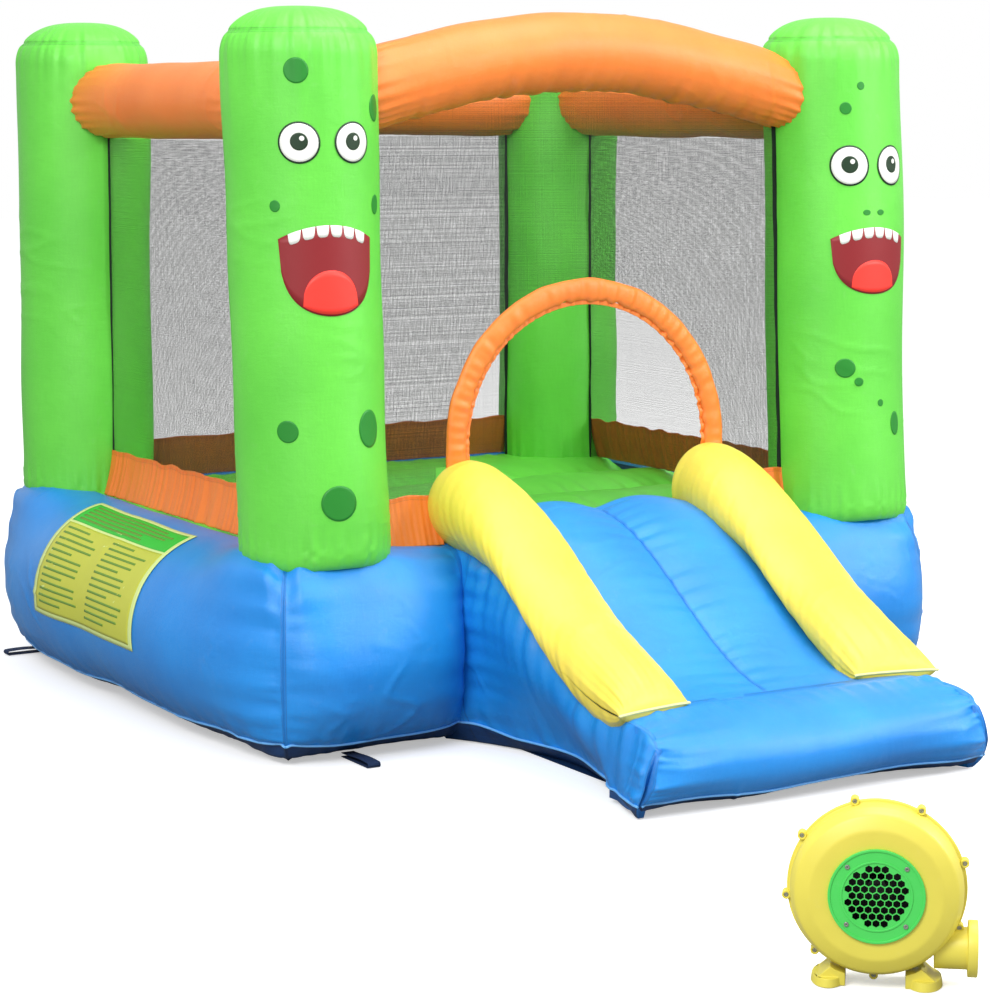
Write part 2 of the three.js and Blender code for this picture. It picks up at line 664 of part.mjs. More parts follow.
const half = (side, hole) => turnedRing([
  [hole, side * scrollDepth], [112, side * scrollDepth], [137, side * 51], [scrollRadius, side * 30],
  [scrollRadius, side * 4], [152, side * 4], [152, side * 0.3], [scrollRadius - shell, side * 0.3],
  [scrollRadius - shell, side * 29.2], [135.4, side * 49], [111.4, side * (scrollDepth - shell)],
  [hole, side * (scrollDepth - shell)],
], 28);
const atScroll = (geometry) => geometry.translate(0, 0, scrollHeight);
const ductBore = () => barX(ductRadius + 0.4, 40, 200, 0, ductHeight - scrollHeight, 20);
add(blower, 'blower_front_half', atScroll(cut(half(-1, inletRadius), ductBore())), blowerShell());
add(blower, 'blower_back_half', atScroll(cut(half(1, 50), ductBore())), blowerShell());

const ductTube = turnedRing([
  [ductRadius - shell, 60], [ductRadius, 60], [ductRadius, 154], [flangeRadius, 154],
  [flangeRadius, ductEnd], [ductRadius - shell, ductEnd],
], 20).rotateZ(-PI / 2).translate(0, 0, ductHeight - scrollHeight);
add(blower, 'outlet_duct', atScroll(cut(ductTube, barY(154.5, -80, 80, 0, 0, 28))), blowerShell());

// Each foot is a flat oval pad with a sloping neck up to the housing on its inner side.
for (const [name, x0, x1] of [['left', -50, -109], ['right', 51, 114]]) {
  const [shoulder, toe] = [mix(x0, x1, 0.42), mix(x0, x1, 0.8)];
  const neck = new THREE.Shape();
  const side = [[x0, 0], [x0, 62], [shoulder, 62], [shoulder, 34], [toe, 14], [toe, 0]];
  neck.setFromPoints(side.map(([x, z]) => new THREE.Vector2(x, z)));
  const pad = new THREE.CylinderGeometry(0.93, 1, 15, 32).rotateX(PI / 2)
    .scale(abs(x1 - x0) / 2, 52, 1).translate((x0 + x1) / 2, 0, 7.5);
  const block = join(pad, standing(neck, 70, -35)).translate(0, 0, -scrollHeight);
  const tools = [barY(154.5, -80, 80, 0, 0, 28)];
  if (x0 > 0) tools.push(barX(ductRadius + 0.8, 20, 200, 0, ductHeight - scrollHeight, 20));
  add(blower, `blower_foot_${name}`, atScroll(cut(block, ...tools)), blowerShell());
}

// The grille is a disc with a honeycomb of holes over the intake.
const grille = new THREE.Shape().absarc(0, 0, grilleRadius, 0, 2 * PI);
const cellRadius = grillePitch / sqrt(3) - 0.9;
for (let row = -4; row <= 4; row++) {
  for (let k = -5; k <= 5; k++) {
    const x = (k + (row % 2 ? 0.5 : 0)) * grillePitch;
    const y = row * grillePitch * sqrt(3) / 2;
    if (Math.hypot(x, y) > grilleReach) continue;
    const cell = new THREE.Path();
    steps(6, (t) => t).slice(0, 6).forEach((t, i) => {
      const turn = 2 * PI * t + PI / 6;
      cell[i ? 'lineTo' : 'moveTo'](x + cellRadius * cos(turn), y + cellRadius * sin(turn));
    });
    grille.holes.push(cell);
  }
}
add(blower, 'intake_grille',
  atScroll(standing(grille, grilleThick, -scrollDepth - 0.3 - grilleThick, 18)), grilleGreen());

// The wheel: a back plate with forward-curved blades and a front ring, on a hub moulded to its shaft.
const bladeShape = new THREE.Shape();
bladeShape.absarc(30, 0, 92, 0.55, 0.08, true);
bladeShape.absarc(30, 0, 89.5, 0.08, 0.55, false);
const blades = Array.from({ length: bladeCount }, (_, i) =>
  standing(bladeShape, 58, -31, 3).translate(-17, 0, 0).rotateY(2 * PI * i / bladeCount));
const wheelRing = (inner, y0, y1) =>
  turnedRing([[inner, y0], [wheelRadius, y0], [wheelRadius, y1], [inner, y1]], 28);
const wheel = join(
  barY(16, -6, 30, 0, 0, 16), barY(shaftRadius, -9, 126, 0, 0, 12),
  wheelRing(15, 26, 28.5), wheelRing(wheelRadius - 20, -32, -29.5), ...blades);
add(blower, 'impeller', atScroll(wheel), blackPlastic());
add(blower, 'motor', atScroll(turnedRing([
  [shaftRadius + 0.6, 36], [44, 36], [44, 62.4], [64, 62.4], [64, 66], [motorRadius, 66],
  [motorRadius, 118], [38, 128], [shaftRadius + 0.6, 128],
], 24)), blackPlastic());

// Switch box saddled on the motor, with a rocker switch and the gland for the supply lead.
const boxBody = cut(box(-24, 24, 70, 114, 30, boxTop), barY(motorRadius + 0.4, 60, 130, 0, 0, 24),
  box(-7, 7, rockerY - 11, rockerY + 11, boxTop - 11, boxTop + 5));
add(blower, 'switch_box', atScroll(boxBody), blackPlastic());
const rocker = new THREE.Shape();
rocker.moveTo(-10, 2.6);
rocker.lineTo(-10, -3);
rocker.lineTo(-3, -5.5);
rocker.lineTo(3, -5.5);
rocker.lineTo(10, -3);
rocker.lineTo(10, 2.6);
rocker.lineTo(0, 1);
const rockerMesh = add(blower, 'rocker_switch',
  plate(rocker, 12.8).rotateX(PI / 2).rotateZ(PI / 2).translate(-6.4, 0, 0),
  finish(0xc8281e, 0.35));
rockerMesh.position.set(0, rockerY, scrollHeight + boxTop - 1.5);
rockerMesh.rotation.x = -rockerTurn;
add(blower, 'lead_gland', atScroll(turnedRing([
  [3.5, 114.3], [10, 114.3], [10, 119], [7.5, 119], [6, 131], [3.5, 131],
], 16).translate(0, 0, 62)), blackPlastic());

export default house;
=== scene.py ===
# Looks of the inflatable bounce house with its slide and blower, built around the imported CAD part.
# Metres, +Z up, -Y is the doorway and slide side. Every inflated piece is a closed skin worked out on
# a grid: its plain round shape first, then the gathers that its seams put into the cloth.
import json
import math
import bpy
import bmesh
import numpy as np
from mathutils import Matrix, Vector

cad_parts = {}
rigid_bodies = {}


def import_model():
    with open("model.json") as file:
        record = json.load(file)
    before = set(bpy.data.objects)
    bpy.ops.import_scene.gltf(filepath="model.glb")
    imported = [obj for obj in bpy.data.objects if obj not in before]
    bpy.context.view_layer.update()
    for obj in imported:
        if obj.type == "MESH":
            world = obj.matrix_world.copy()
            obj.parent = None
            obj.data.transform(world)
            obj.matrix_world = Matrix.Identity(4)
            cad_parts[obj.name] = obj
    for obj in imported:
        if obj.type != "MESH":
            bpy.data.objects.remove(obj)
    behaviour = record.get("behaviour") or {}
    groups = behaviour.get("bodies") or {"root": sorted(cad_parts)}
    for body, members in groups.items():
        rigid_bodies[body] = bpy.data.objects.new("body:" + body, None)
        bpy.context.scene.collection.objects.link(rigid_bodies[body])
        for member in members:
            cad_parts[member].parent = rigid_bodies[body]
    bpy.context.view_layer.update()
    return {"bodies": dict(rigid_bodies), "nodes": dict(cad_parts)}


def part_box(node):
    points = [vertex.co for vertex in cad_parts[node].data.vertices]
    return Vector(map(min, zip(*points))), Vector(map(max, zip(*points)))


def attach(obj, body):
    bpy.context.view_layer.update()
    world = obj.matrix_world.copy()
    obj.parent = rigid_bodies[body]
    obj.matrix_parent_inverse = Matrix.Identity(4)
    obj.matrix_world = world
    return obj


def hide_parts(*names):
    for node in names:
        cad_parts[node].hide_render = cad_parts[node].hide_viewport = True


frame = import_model()
pi = np.pi

house = {
    "columnX": 0.75,
    "columnY": 0.68,
    "columnRadius": 0.173,
    "height": 1.70,
    "leanFoot": 0.466,
    "leanHeight": 1.55,
}
# How far the top of each column leans in X and Y, at leanHeight.
columnLean = {
    "backLeft": (0.009, -0.005),
    "frontLeft": (-0.025, 0.004),
    "frontRight": (-0.025, 0.026),
    "backRight": (-0.001, 0.001),
}
cornerNodes = {
    "FrontLeft": "front_left",
    "FrontRight": "front_right",
    "BackLeft": "back_left",
    "BackRight": "back_right",
}
colours = {
    "green": "#6FE04A",
    "greenDeep": "#3FAE2B",
    "blue": "#1E95EC",
    "blueDeep": "#0E5CB8",
    "navy": "#0B3A6E",
    "piping": "#7CC4FF",
    "orange": "#FF8A34",
    "orangeDeep": "#E2631C",
    "yellow": "#F6E35C",
    "yellowDeep": "#DDB815",
    "netBlack": "#141716",
    "tape": "#10201A",
    "webbing": "#12305A",
    "spot": "#1F8A27",
    "mouth": "#8E1C22",
    "tongue": "#FF3B2E",
    "white": "#F4F7EF",
    "pupil": "#14351A",
    "labelEdge": "#DDF09A",
    "labelHead": "#35C63A",
    "labelBody": "#CBD048",
    "labelBar": "#6F9A35",
    "shell": "#EBDD58",
    "grille": "#4FDB60",
    "black": "#17191B",
    "red": "#C8281E",
    "steel": "#C3C7CB",
}


# Shaping helpers.

def mix(a, b, t):
    return a + (b - a) * t


def ease(low, high, x):
    # 0 below low, 1 above high, and an S between.
    t = np.clip((x - low) / (high - low), 0, 1)
    return t * t * (3 - 2 * t)


def ripple(run, pitch, seed, waves=6):
    # Waves near one pitch with seeded lengths and phases: uneven gathers along a seam, about -1 to 1.
    dice = np.random.default_rng(seed)
    total = 0
    for length, phase in zip(pitch * dice.uniform(0.6, 1.9, waves), dice.uniform(0, 2 * pi, waves)):
        total = total + np.sin(2 * pi * run / length + phase)
    return total / math.sqrt(waves * 1.4)


def ringRipple(turn, count, seed, waves=6):
    # The same round a ring: whole numbers of waves, so that it meets itself.
    dice = np.random.default_rng(seed)
    total = 0
    numbers = np.round(count * dice.uniform(0.6, 1.7, waves))
    for number, phase in zip(numbers, dice.uniform(0, 2 * pi, waves)):
        total = total + np.sin(number * turn + phase)
    return total / math.sqrt(waves * 1.4)


def crumple(points, size, seed, stretch=(1, 1, 1), waves=9):
    # Plane waves in seeded directions through space: soft dents about size across.
    dice = np.random.default_rng(seed)
    total = 0
    for _ in range(waves):
        way = dice.normal(size=3)
        way = way / np.linalg.norm(way) / np.array(stretch) * (2 * pi / size / dice.uniform(0.6, 1.6))
        total = total + np.sin(points @ way + dice.uniform(0, 2 * pi))
    return total / math.sqrt(waves)


def folds(points, size, seed, stretch=(1, 1, 1)):
    # Sharp-backed creases: the zero lines of a crumple, narrow and raised, fading in and out.
    field = crumple(points, size, seed, stretch)
    where = ease(0.2, 1.2, crumple(points, size * 2.2, seed + 50))
    return np.exp(-(field / 0.22) ** 2) * where


def gathers(distance, waves, depth, reach):
    # Gathers stand out beside a seam, fade over reach, and are flat in the seam itself.
    away = np.abs(distance)
    return depth * waves * np.exp(-away / reach) * (1 - np.exp(-away / (0.12 * reach)))


def groove(distance, depth, width):
    # The stitching pulls a seam in, so the cloth beside it stands proud.
    return -depth * np.exp(-(np.abs(distance) / width) ** 1.4)


def lean(points):
    # Shift of everything that stands on the base: mixed from the four columns, growing with height.
    s = (np.clip(points[..., 0] / house["columnX"], -1, 1) + 1) / 2
    t = (np.clip(points[..., 1] / house["columnY"], -1, 1) + 1) / 2
    rise = (points[..., 2] - house["leanFoot"]) / (house["leanHeight"] - house["leanFoot"])
    moved = points.copy()
    for k in (0, 1):
        front = mix(columnLean["frontLeft"][k], columnLean["frontRight"][k], s)
        back = mix(columnLean["backLeft"][k], columnLean["backRight"][k], s)
        moved[..., k] += rise * mix(front, back, t)
    return moved


def grid(rows, columns):
    # Two arrays that run from 0 to 1: along the rows, and across the columns.
    along, across = np.meshgrid(np.linspace(0, 1, rows), np.linspace(0, 1, columns), indexing="ij")
    return along, across


def stack(x, y, z):
    return np.stack(np.broadcast_arrays(x, y, z), axis=-1).astype(float)


def normals(points, ring, core):
    # Cross product of the grid's two directions, turned away from core.
    if ring:
        around = np.concatenate([points[:, -2:-1], points, points[:, 1:2]], axis=1)
        across = (around[:, 2:] - around[:, :-2])
    else:
        across = np.gradient(points, axis=1)
    normal = np.cross(np.gradient(points, axis=0), across)
    length = np.linalg.norm(normal, axis=-1, keepdims=True)
    normal = normal / np.maximum(length, 1e-12)
    if (normal * (points - core)).sum() < 0:
        normal = -normal
    return normal


def swell(points, amount, ring=True, core=None):
    # Moves each point along the cloth's normal.
    core = points.reshape(-1, 3).mean(0) if core is None else np.array(core)
    return points + normals(points, ring, core) * np.asarray(amount)[..., None]


def closeEnds(points, extras):
    # Adds a middle point before the first row and after the last, which closes a tube.

    def ends(values):
        first = np.broadcast_to(values[0].mean(0), values[0].shape)
        last = np.broadcast_to(values[-1].mean(0), values[-1].shape)
        return np.concatenate([first[None], values, last[None]])

    return ends(points), {key: np.concatenate([v[:1], v, v[-1:]]) for key, v in extras.items()}


def joined(parts):
    # Several (points, faces) parts as one; each part may carry its own material number.
    points, faces, marks, start = [], [], [], 0
    for part in parts:
        spots, sides = part[0].reshape(-1, 3), part[1]
        points.append(spots)
        faces.append(sides + start)
        marks.append(np.full(len(sides), part[2] if len(part) > 2 else 0))
        start += len(spots)
    return np.concatenate(points), np.concatenate(faces), np.concatenate(marks)


def quadsOf(rows, columns):
    index = np.arange(rows * columns).reshape(rows, columns)
    corners = [index[:-1, :-1], index[:-1, 1:], index[1:, 1:], index[1:, :-1]]
    return np.stack(corners, axis=-1).reshape(-1, 4)


def facingOut(flat, quads, core):
    # Turns the faces round where their signed volume about core says that the skin is inside out.
    a, b, c, d = (flat[quads[:, k]] for k in range(4))
    if (np.cross(c - a, d - b) * ((a + c) / 2 - core)).sum() < 0:
        quads = quads[:, ::-1]
    return quads


def place(name, mesh, cloths, replaced=(), body="house", smooth=True):
    # Closes the seams of a grid, puts the piece in the scene and fastens it to its body.
    work = bmesh.new()
    work.from_mesh(mesh)
    bmesh.ops.remove_doubles(work, verts=work.verts, dist=2e-6)
    bmesh.ops.dissolve_degenerate(work, edges=work.edges, dist=1e-7)
    work.to_mesh(mesh)
    work.free()
    mesh.polygons.foreach_set("use_smooth", [smooth] * len(mesh.polygons))
    for cloth in cloths:
        mesh.materials.append(cloth)
    piece = bpy.data.objects.new(name, mesh)
    bpy.context.scene.collection.objects.link(piece)
    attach(piece, body)
    if replaced:
        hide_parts(*replaced)
    return piece


def sew(name, points, cloth, replaced=(), slot=None, closed=True, core=None, marks=None,
        body="house", **extras):
    # Makes a piece from a grid of points. Its UV map is in metres along and across the cloth, and
    # extras are values per point that materials read, such as the distance to the nearest seam.
    core = points.reshape(-1, 3).mean(0) if core is None else np.array(core)
    if closed:
        points, extras = closeEnds(points, extras)
        if marks is not None:
            marks = np.concatenate([0 * marks[:1], marks, 0 * marks[-1:]])
    rows, columns = points.shape[:2]
    u = np.concatenate([[0], np.cumsum(np.linalg.norm(np.diff(points, axis=1), axis=2).mean(0))])
    v = np.concatenate([[0], np.cumsum(np.linalg.norm(np.diff(points, axis=0), axis=2).mean(1))])
    uv = np.stack(np.meshgrid(u, v), axis=-1).reshape(-1, 2)
    flat = points.reshape(-1, 3)
    quads = facingOut(flat, quadsOf(rows, columns), core)
    mesh = bpy.data.meshes.new(name)
    mesh.from_pydata(flat.tolist(), [], quads.tolist())
    layer = mesh.uv_layers.new(name="cloth")
    layer.data.foreach_set("uv", uv[quads.ravel()].ravel().astype(np.float32))
    for key, values in extras.items():
        attribute = mesh.attributes.new(key, "FLOAT", "POINT")
        attribute.data.foreach_set("value", values.ravel().astype(np.float32))
    if marks is not None:
        mesh.polygons.foreach_set("material_index", marks.ravel().astype(np.int32))
    cloths = cloth if isinstance(cloth, (list, tuple)) else [cloth]
    return place(name, mesh, cloths, replaced, body)


def assemble(name, parts, cloths, replaced=(), body="house", smooth=True):
    # Makes a piece from several (points, faces, material number) parts.
    points, faces, marks = joined(parts)
    mesh = bpy.data.meshes.new(name)
    mesh.from_pydata(points.tolist(), [], faces.tolist())
    mesh.polygons.foreach_set("material_index", marks.astype(np.int32))
    return place(name, mesh, cloths, replaced, body, smooth)


def carried(values):
    # Values for the three points that close a section: last, first and first again.
    return np.concatenate([values, values[:, [-1, 0, 0]]], axis=1)


def piping(name, line, radius, cloth, slot, sides=10):
    # A cord of cloth along a seam, with no stitches of its own.
    plain = np.ones((len(line), sides + 1))
    return sew(name, tubeAlong(line, radius, sides), cloth, slot=slot, seam=plain, run=plain)


def thicken(piece, thickness, offset=-1):
    wall = piece.modifiers.new("thickness", "SOLIDIFY")
    wall.thickness = thickness
    wall.offset = offset
    return piece


def tubeAlong(path, radius, sides=10):
    # A round cord carried along a path: at each point a circle across the path's direction.
    path = np.asarray(path, float)
    way = np.gradient(path, axis=0)
    way = way / np.linalg.norm(way, axis=1, keepdims=True)
    up = np.where(np.abs(way[:, 2:3]) > 0.9, [[1.0, 0, 0]], [[0, 0, 1.0]])
    first = np.cross(way, up)
    first = first / np.linalg.norm(first, axis=1, keepdims=True)
    second = np.cross(way, first)
    turn = np.linspace(0, 2 * pi, sides + 1)
    return (path[:, None] + radius * (np.cos(turn)[None, :, None] * first[:, None]
                                      + np.sin(turn)[None, :, None] * second[:, None]))


def strapAlong(path, side, width, thick):
    # A flat strap carried along a path. side is the direction of its width.
    path = np.asarray(path, float)
    side = np.broadcast_to(np.asarray(side, float), path.shape)
    way = np.gradient(path, axis=0)
    away = np.cross(way, side)
    away = away / np.linalg.norm(away, axis=1, keepdims=True)
    half = np.array([-0.5, -0.49, -0.25, 0, 0.25, 0.49, 0.5, 0.49, 0.25, 0, -0.25, -0.49, -0.5])
    face = np.array([0, 0.5, 0.5, 0.5, 0.5, 0.5, 0, -0.5, -0.5, -0.5, -0.5, -0.5, 0])
    return (path[:, None] + half[None, :, None] * width * side[:, None]
            + face[None, :, None] * thick * away[:, None])


# Materials.

def linear(hexColour):
    # sRGB hex to linear light.
    parts = [int(hexColour[k:k + 2], 16) / 255 for k in (1, 3, 5)]
    parts = [p / 12.92 if p <= 0.04045 else ((p + 0.055) / 1.055) ** 2.4 for p in parts]
    return (*parts, 1)


def put(tree, kind, links=None, **settings):
    # Adds a node with its settings; links gives each socket another node's output or a value.
    made = tree.nodes.new(kind)
    for key, value in settings.items():
        setattr(made, key, value)
    for socket, source in (links or {}).items():
        if isinstance(source, bpy.types.NodeSocket):
            tree.links.new(source, made.inputs[socket])
        else:
            made.inputs[socket].default_value = source
    return made


def reckon(tree, operation, a, b=0.0, c=0.0):
    return put(tree, "ShaderNodeMath", {0: a, 1: b, 2: c}, operation=operation).outputs[0]


def blendColour(tree, share, a, b, mode="MIX"):
    made = put(tree, "ShaderNodeMix", data_type="RGBA", blend_type=mode)
    for socket, source in ((0, share), (6, a), (7, b)):
        if isinstance(source, bpy.types.NodeSocket):
            tree.links.new(source, made.inputs[socket])
        else:
            made.inputs[socket].default_value = source
    return made.outputs[2]


def start(name):
    made = bpy.data.materials.new(name)
    made.use_nodes = True
    tree = made.node_tree
    return made, tree, tree.nodes["Principled BSDF"]


def noise(tree, where, size, detail=2.0, rough=0.5, distortion=0.0):
    links = {"Vector": where, "Scale": 1 / size, "Detail": detail, "Roughness": rough,
             "Distortion": distortion}
    return put(tree, "ShaderNodeTexNoise", links).outputs["Fac"]


def spread(tree, value, low, high, toLow=0.0, toHigh=1.0):
    links = {"Value": value, "From Min": low, "From Max": high, "To Min": toLow, "To Max": toHigh}
    return put(tree, "ShaderNodeMapRange", links).outputs["Result"]


def clothMaterial(name, base, deep, rough=0.42, weave=0.00135, slub=0.25, dust=0.06):
    # Coated oxford nylon: a plain weave under a thin clear coating, with slubs where a thread is
    # thick, painted shade in the seams, a double row of lockstitches, and dust rubbed in by use.
    made, tree, surface = start(name)
    place3 = put(tree, "ShaderNodeTexCoord").outputs["Object"]
    uv = put(tree, "ShaderNodeUVMap", uv_map="cloth").outputs["UV"]
    parts = put(tree, "ShaderNodeSeparateXYZ", {0: uv})
    u, v = parts.outputs[0], parts.outputs[1]
    warp = reckon(tree, "SINE", reckon(tree, "MULTIPLY", u, 2 * pi / weave))
    weft = reckon(tree, "SINE", reckon(tree, "MULTIPLY", v, 2 * pi / weave))
    threads = reckon(tree, "MULTIPLY", warp, weft)
    long = put(tree, "ShaderNodeMapping", {"Vector": uv, "Scale": (0.12, 1, 1)}).outputs[0]
    tall = put(tree, "ShaderNodeMapping", {"Vector": uv, "Scale": (1, 0.12, 1)}).outputs[0]
    slubs = reckon(tree, "ADD", noise(tree, long, 0.0045, 1.0), noise(tree, tall, 0.0045, 1.0))
    seam = reckon(tree, "ABSOLUTE", put(tree, "ShaderNodeAttribute", attribute_name="seam").outputs["Fac"])
    run = put(tree, "ShaderNodeAttribute", attribute_name="run").outputs["Fac"]
    # Painted shade: within 7 mm of a seam the cloth is darkened towards the deep colour.
    seamShade = spread(tree, seam, 0.0, 0.007, 1.0, 0.0)
    row = reckon(tree, "COMPARE", seam, 0.0045, 0.0007)
    dash = reckon(tree, "LESS_THAN", reckon(tree, "FRACT", reckon(tree, "MULTIPLY", run, 250.0)), 0.6)
    stitch = reckon(tree, "MULTIPLY", row, dash)
    broad = spread(tree, noise(tree, place3, 0.22, 3.0), 0.3, 0.7)
    fine = spread(tree, slubs, 0.7, 1.3)
    tone = blendColour(tree, reckon(tree, "MULTIPLY", broad, 0.3), linear(base), linear(deep))
    tone = blendColour(tree, reckon(tree, "MULTIPLY", fine, slub * 0.35), tone, linear(deep))
    # Painted shade in the seams.
    tone = blendColour(tree, reckon(tree, "MULTIPLY", seamShade, 0.45), tone, linear(deep))
    tone = blendColour(tree, reckon(tree, "MULTIPLY", stitch, 0.7), tone, blendColour(
        tree, 0.5, linear(deep), (0.02, 0.02, 0.02, 1)))
    worn = spread(tree, noise(tree, place3, 0.035, 5.0, 0.7, 0.4), 0.6, 0.78)
    tone = blendColour(tree, reckon(tree, "MULTIPLY", worn, dust), tone, (0.62, 0.6, 0.54, 1))
    tree.links.new(tone, surface.inputs["Base Color"])
    shine = reckon(tree, "ADD", rough - 0.04, reckon(tree, "MULTIPLY", broad, 0.08))
    shine = reckon(tree, "ADD", shine, reckon(tree, "MULTIPLY", worn, 0.14))
    tree.links.new(shine, surface.inputs["Roughness"])
    surface.inputs["Specular IOR Level"].default_value = 0.5
    surface.inputs["Coat Weight"].default_value = 0.12
    surface.inputs["Coat Roughness"].default_value = 0.28
    limp = noise(tree, place3, 0.03, 3.0, 0.55, 0.6)
    height = reckon(tree, "ADD", reckon(tree, "MULTIPLY", threads, 0.00009), reckon(
        tree, "MULTIPLY", slubs, 0.0002 * slub * 4))
    height = reckon(tree, "ADD", height, reckon(tree, "MULTIPLY", limp, 0.0012))
    height = reckon(tree, "SUBTRACT", height, reckon(tree, "MULTIPLY", stitch, 0.0003))
    bump = put(tree, "ShaderNodeBump", {"Height": height, "Distance": 1.0, "Strength": 0.8})
    tree.links.new(bump.outputs[0], surface.inputs["Normal"])
    return made


def printMaterial(name, base):
    # Screen ink on the same cloth: the weave still shows, and the ink is a little matt.
    made, tree, surface = start(name)
    place3 = put(tree, "ShaderNodeTexCoord").outputs["Object"]
    grain = noise(tree, place3, 0.0018, 2.0)
    patch = noise(tree, place3, 0.05, 3.0)
    shade = reckon(tree, "ADD", reckon(tree, "MULTIPLY", grain, 0.16),
                   reckon(tree, "MULTIPLY", patch, 0.14))
    dark = [channel * 0.62 for channel in linear(base)[:3]] + [1]
    tree.links.new(blendColour(tree, shade, linear(base), dark), surface.inputs["Base Color"])
    surface.inputs["Roughness"].default_value = 0.5
    bump = put(tree, "ShaderNodeBump", {"Height": grain, "Distance": 0.0003, "Strength": 0.6})
    tree.links.new(bump.outputs[0], surface.inputs["Normal"])
    return made


def webbingMaterial(name, base, rib=0.0022):
    # Woven polyester webbing: ribs across the strap, with a fuzz of darker thread between them.
    made, tree, surface = start(name)
    place3 = put(tree, "ShaderNodeTexCoord").outputs["Object"]
    parts = put(tree, "ShaderNodeSeparateXYZ", {0: place3})
    slant = reckon(tree, "ADD", reckon(tree, "ADD", parts.outputs[0], parts.outputs[1]), parts.outputs[2])
    ribs = reckon(tree, "SINE", reckon(tree, "MULTIPLY", slant, 2 * pi / rib))
    fuzz = noise(tree, place3, 0.004, 3.0)
    dark = [channel * 0.5 for channel in linear(base)[:3]] + [1]
    shade = reckon(tree, "ADD", spread(tree, ribs, -1, 1, 0.0, 0.4), reckon(tree, "MULTIPLY", fuzz, 0.4))
    tree.links.new(blendColour(tree, shade, linear(base), dark), surface.inputs["Base Color"])
    surface.inputs["Roughness"].default_value = 0.82
    bump = put(tree, "ShaderNodeBump", {"Height": ribs, "Distance": 0.0004, "Strength": 0.7})
    tree.links.new(bump.outputs[0], surface.inputs["Normal"])
    return made


def netMaterial(name, base):
    # Knotted polyester net, dull black, with dusty threads.
    made, tree, surface = start(name)
    place3 = put(tree, "ShaderNodeTexCoord").outputs["Object"]
    dusty = spread(tree, noise(tree, place3, 0.06, 4.0), 0.4, 0.75, 0.0, 0.35)
    tree.links.new(blendColour(tree, dusty, linear(base), linear("#3A3F3B")), surface.inputs["Base Color"])
    surface.inputs["Roughness"].default_value = 0.85
    return made


def plasticMaterial(name, base, rough=0.42, grain=0.0009, worn=0.05):
    # Injection moulded plastic: a fine spark-eroded grain, faint flow marks and handling scuffs.
    made, tree, surface = start(name)
    place3 = put(tree, "ShaderNodeTexCoord").outputs["Object"]
    flow = noise(tree, place3, 0.09, 2.0, 0.5, 1.0)
    pits = noise(tree, place3, grain, 2.0)
    scuff = spread(tree, noise(tree, place3, 0.02, 6.0, 0.75, 0.3), 0.58, 0.76)
    dark = [channel * 0.72 for channel in linear(base)[:3]] + [1]
    tone = blendColour(tree, reckon(tree, "MULTIPLY", flow, 0.3), linear(base), dark)
    tone = blendColour(tree, reckon(tree, "MULTIPLY", scuff, worn), tone, (0.7, 0.7, 0.66, 1))
    tree.links.new(tone, surface.inputs["Base Color"])
    shine = reckon(tree, "ADD", rough, reckon(tree, "MULTIPLY", scuff, 0.18))
    tree.links.new(shine, surface.inputs["Roughness"])
    bump = put(tree, "ShaderNodeBump", {"Height": pits, "Distance": 0.00012, "Strength": 0.5})
    tree.links.new(bump.outputs[0], surface.inputs["Normal"])
    return made


def metalMaterial(name, base, rough=0.32):
    # Zinc alloy, tumbled: bright with a soft brushed haze and small dark scratches.
    made, tree, surface = start(name)
    place3 = put(tree, "ShaderNodeTexCoord").outputs["Object"]
    haze = noise(tree, place3, 0.004, 5.0, 0.7)
    dark = [channel * 0.6 for channel in linear(base)[:3]] + [1]
    tree.links.new(blendColour(tree, haze, linear(base), dark), surface.inputs["Base Color"])
    surface.inputs["Metallic"].default_value = 1.0
    tree.links.new(spread(tree, haze, 0.3, 0.7, rough - 0.06, rough + 0.14), surface.inputs["Roughness"])
    bump = put(tree, "ShaderNodeBump", {"Height": haze, "Distance": 0.0001, "Strength": 0.5})
    tree.links.new(bump.outputs[0], surface.inputs["Normal"])
    return made


greenCloth = clothMaterial("greenNylon", colours["green"], colours["greenDeep"])
blueCloth = clothMaterial("blueNylon", colours["blue"], colours["blueDeep"], rough=0.34)
# Navy cloth for the ground sheet, and as painted shade on the turned-under cloth below each hem.
navyCloth = clothMaterial("navyNylon", colours["navy"], "#06203F", rough=0.5)
orangeCloth = clothMaterial("orangeNylon", colours["orange"], colours["orangeDeep"])
yellowCloth = clothMaterial("yellowNylon", colours["yellow"], colours["yellowDeep"], rough=0.38)
pipingCloth = clothMaterial("pipingNylon", colours["piping"], colours["blue"], rough=0.36)
paleYellow = clothMaterial("yellowPiping", "#FBF4A6", colours["yellow"], rough=0.4)
netCloth = netMaterial("blackNet", colours["netBlack"])
tapeCloth = webbingMaterial("bindingTape", colours["tape"])
strapCloth = webbingMaterial("navyWebbing", colours["webbing"])
inks = {key: printMaterial(key + "Ink", colours[key]) for key in (
    "spot", "mouth", "tongue", "white", "pupil", "labelEdge", "labelHead", "labelBody", "labelBar")}
shellPlastic = plasticMaterial("yellowShell", colours["shell"])
grillePlastic = plasticMaterial("greenGrille", colours["grille"], rough=0.38)
blackPlastic = plasticMaterial("blackPlastic", colours["black"], rough=0.45)
redPlastic = plasticMaterial("redRocker", colours["red"], rough=0.3)
steel = metalMaterial("zipMetal", colours["steel"])
screwSteel = metalMaterial("screwSteel", "#B9BBB4", rough=0.4)
print("materials made")


# Columns: a straight tube with a domed cap.

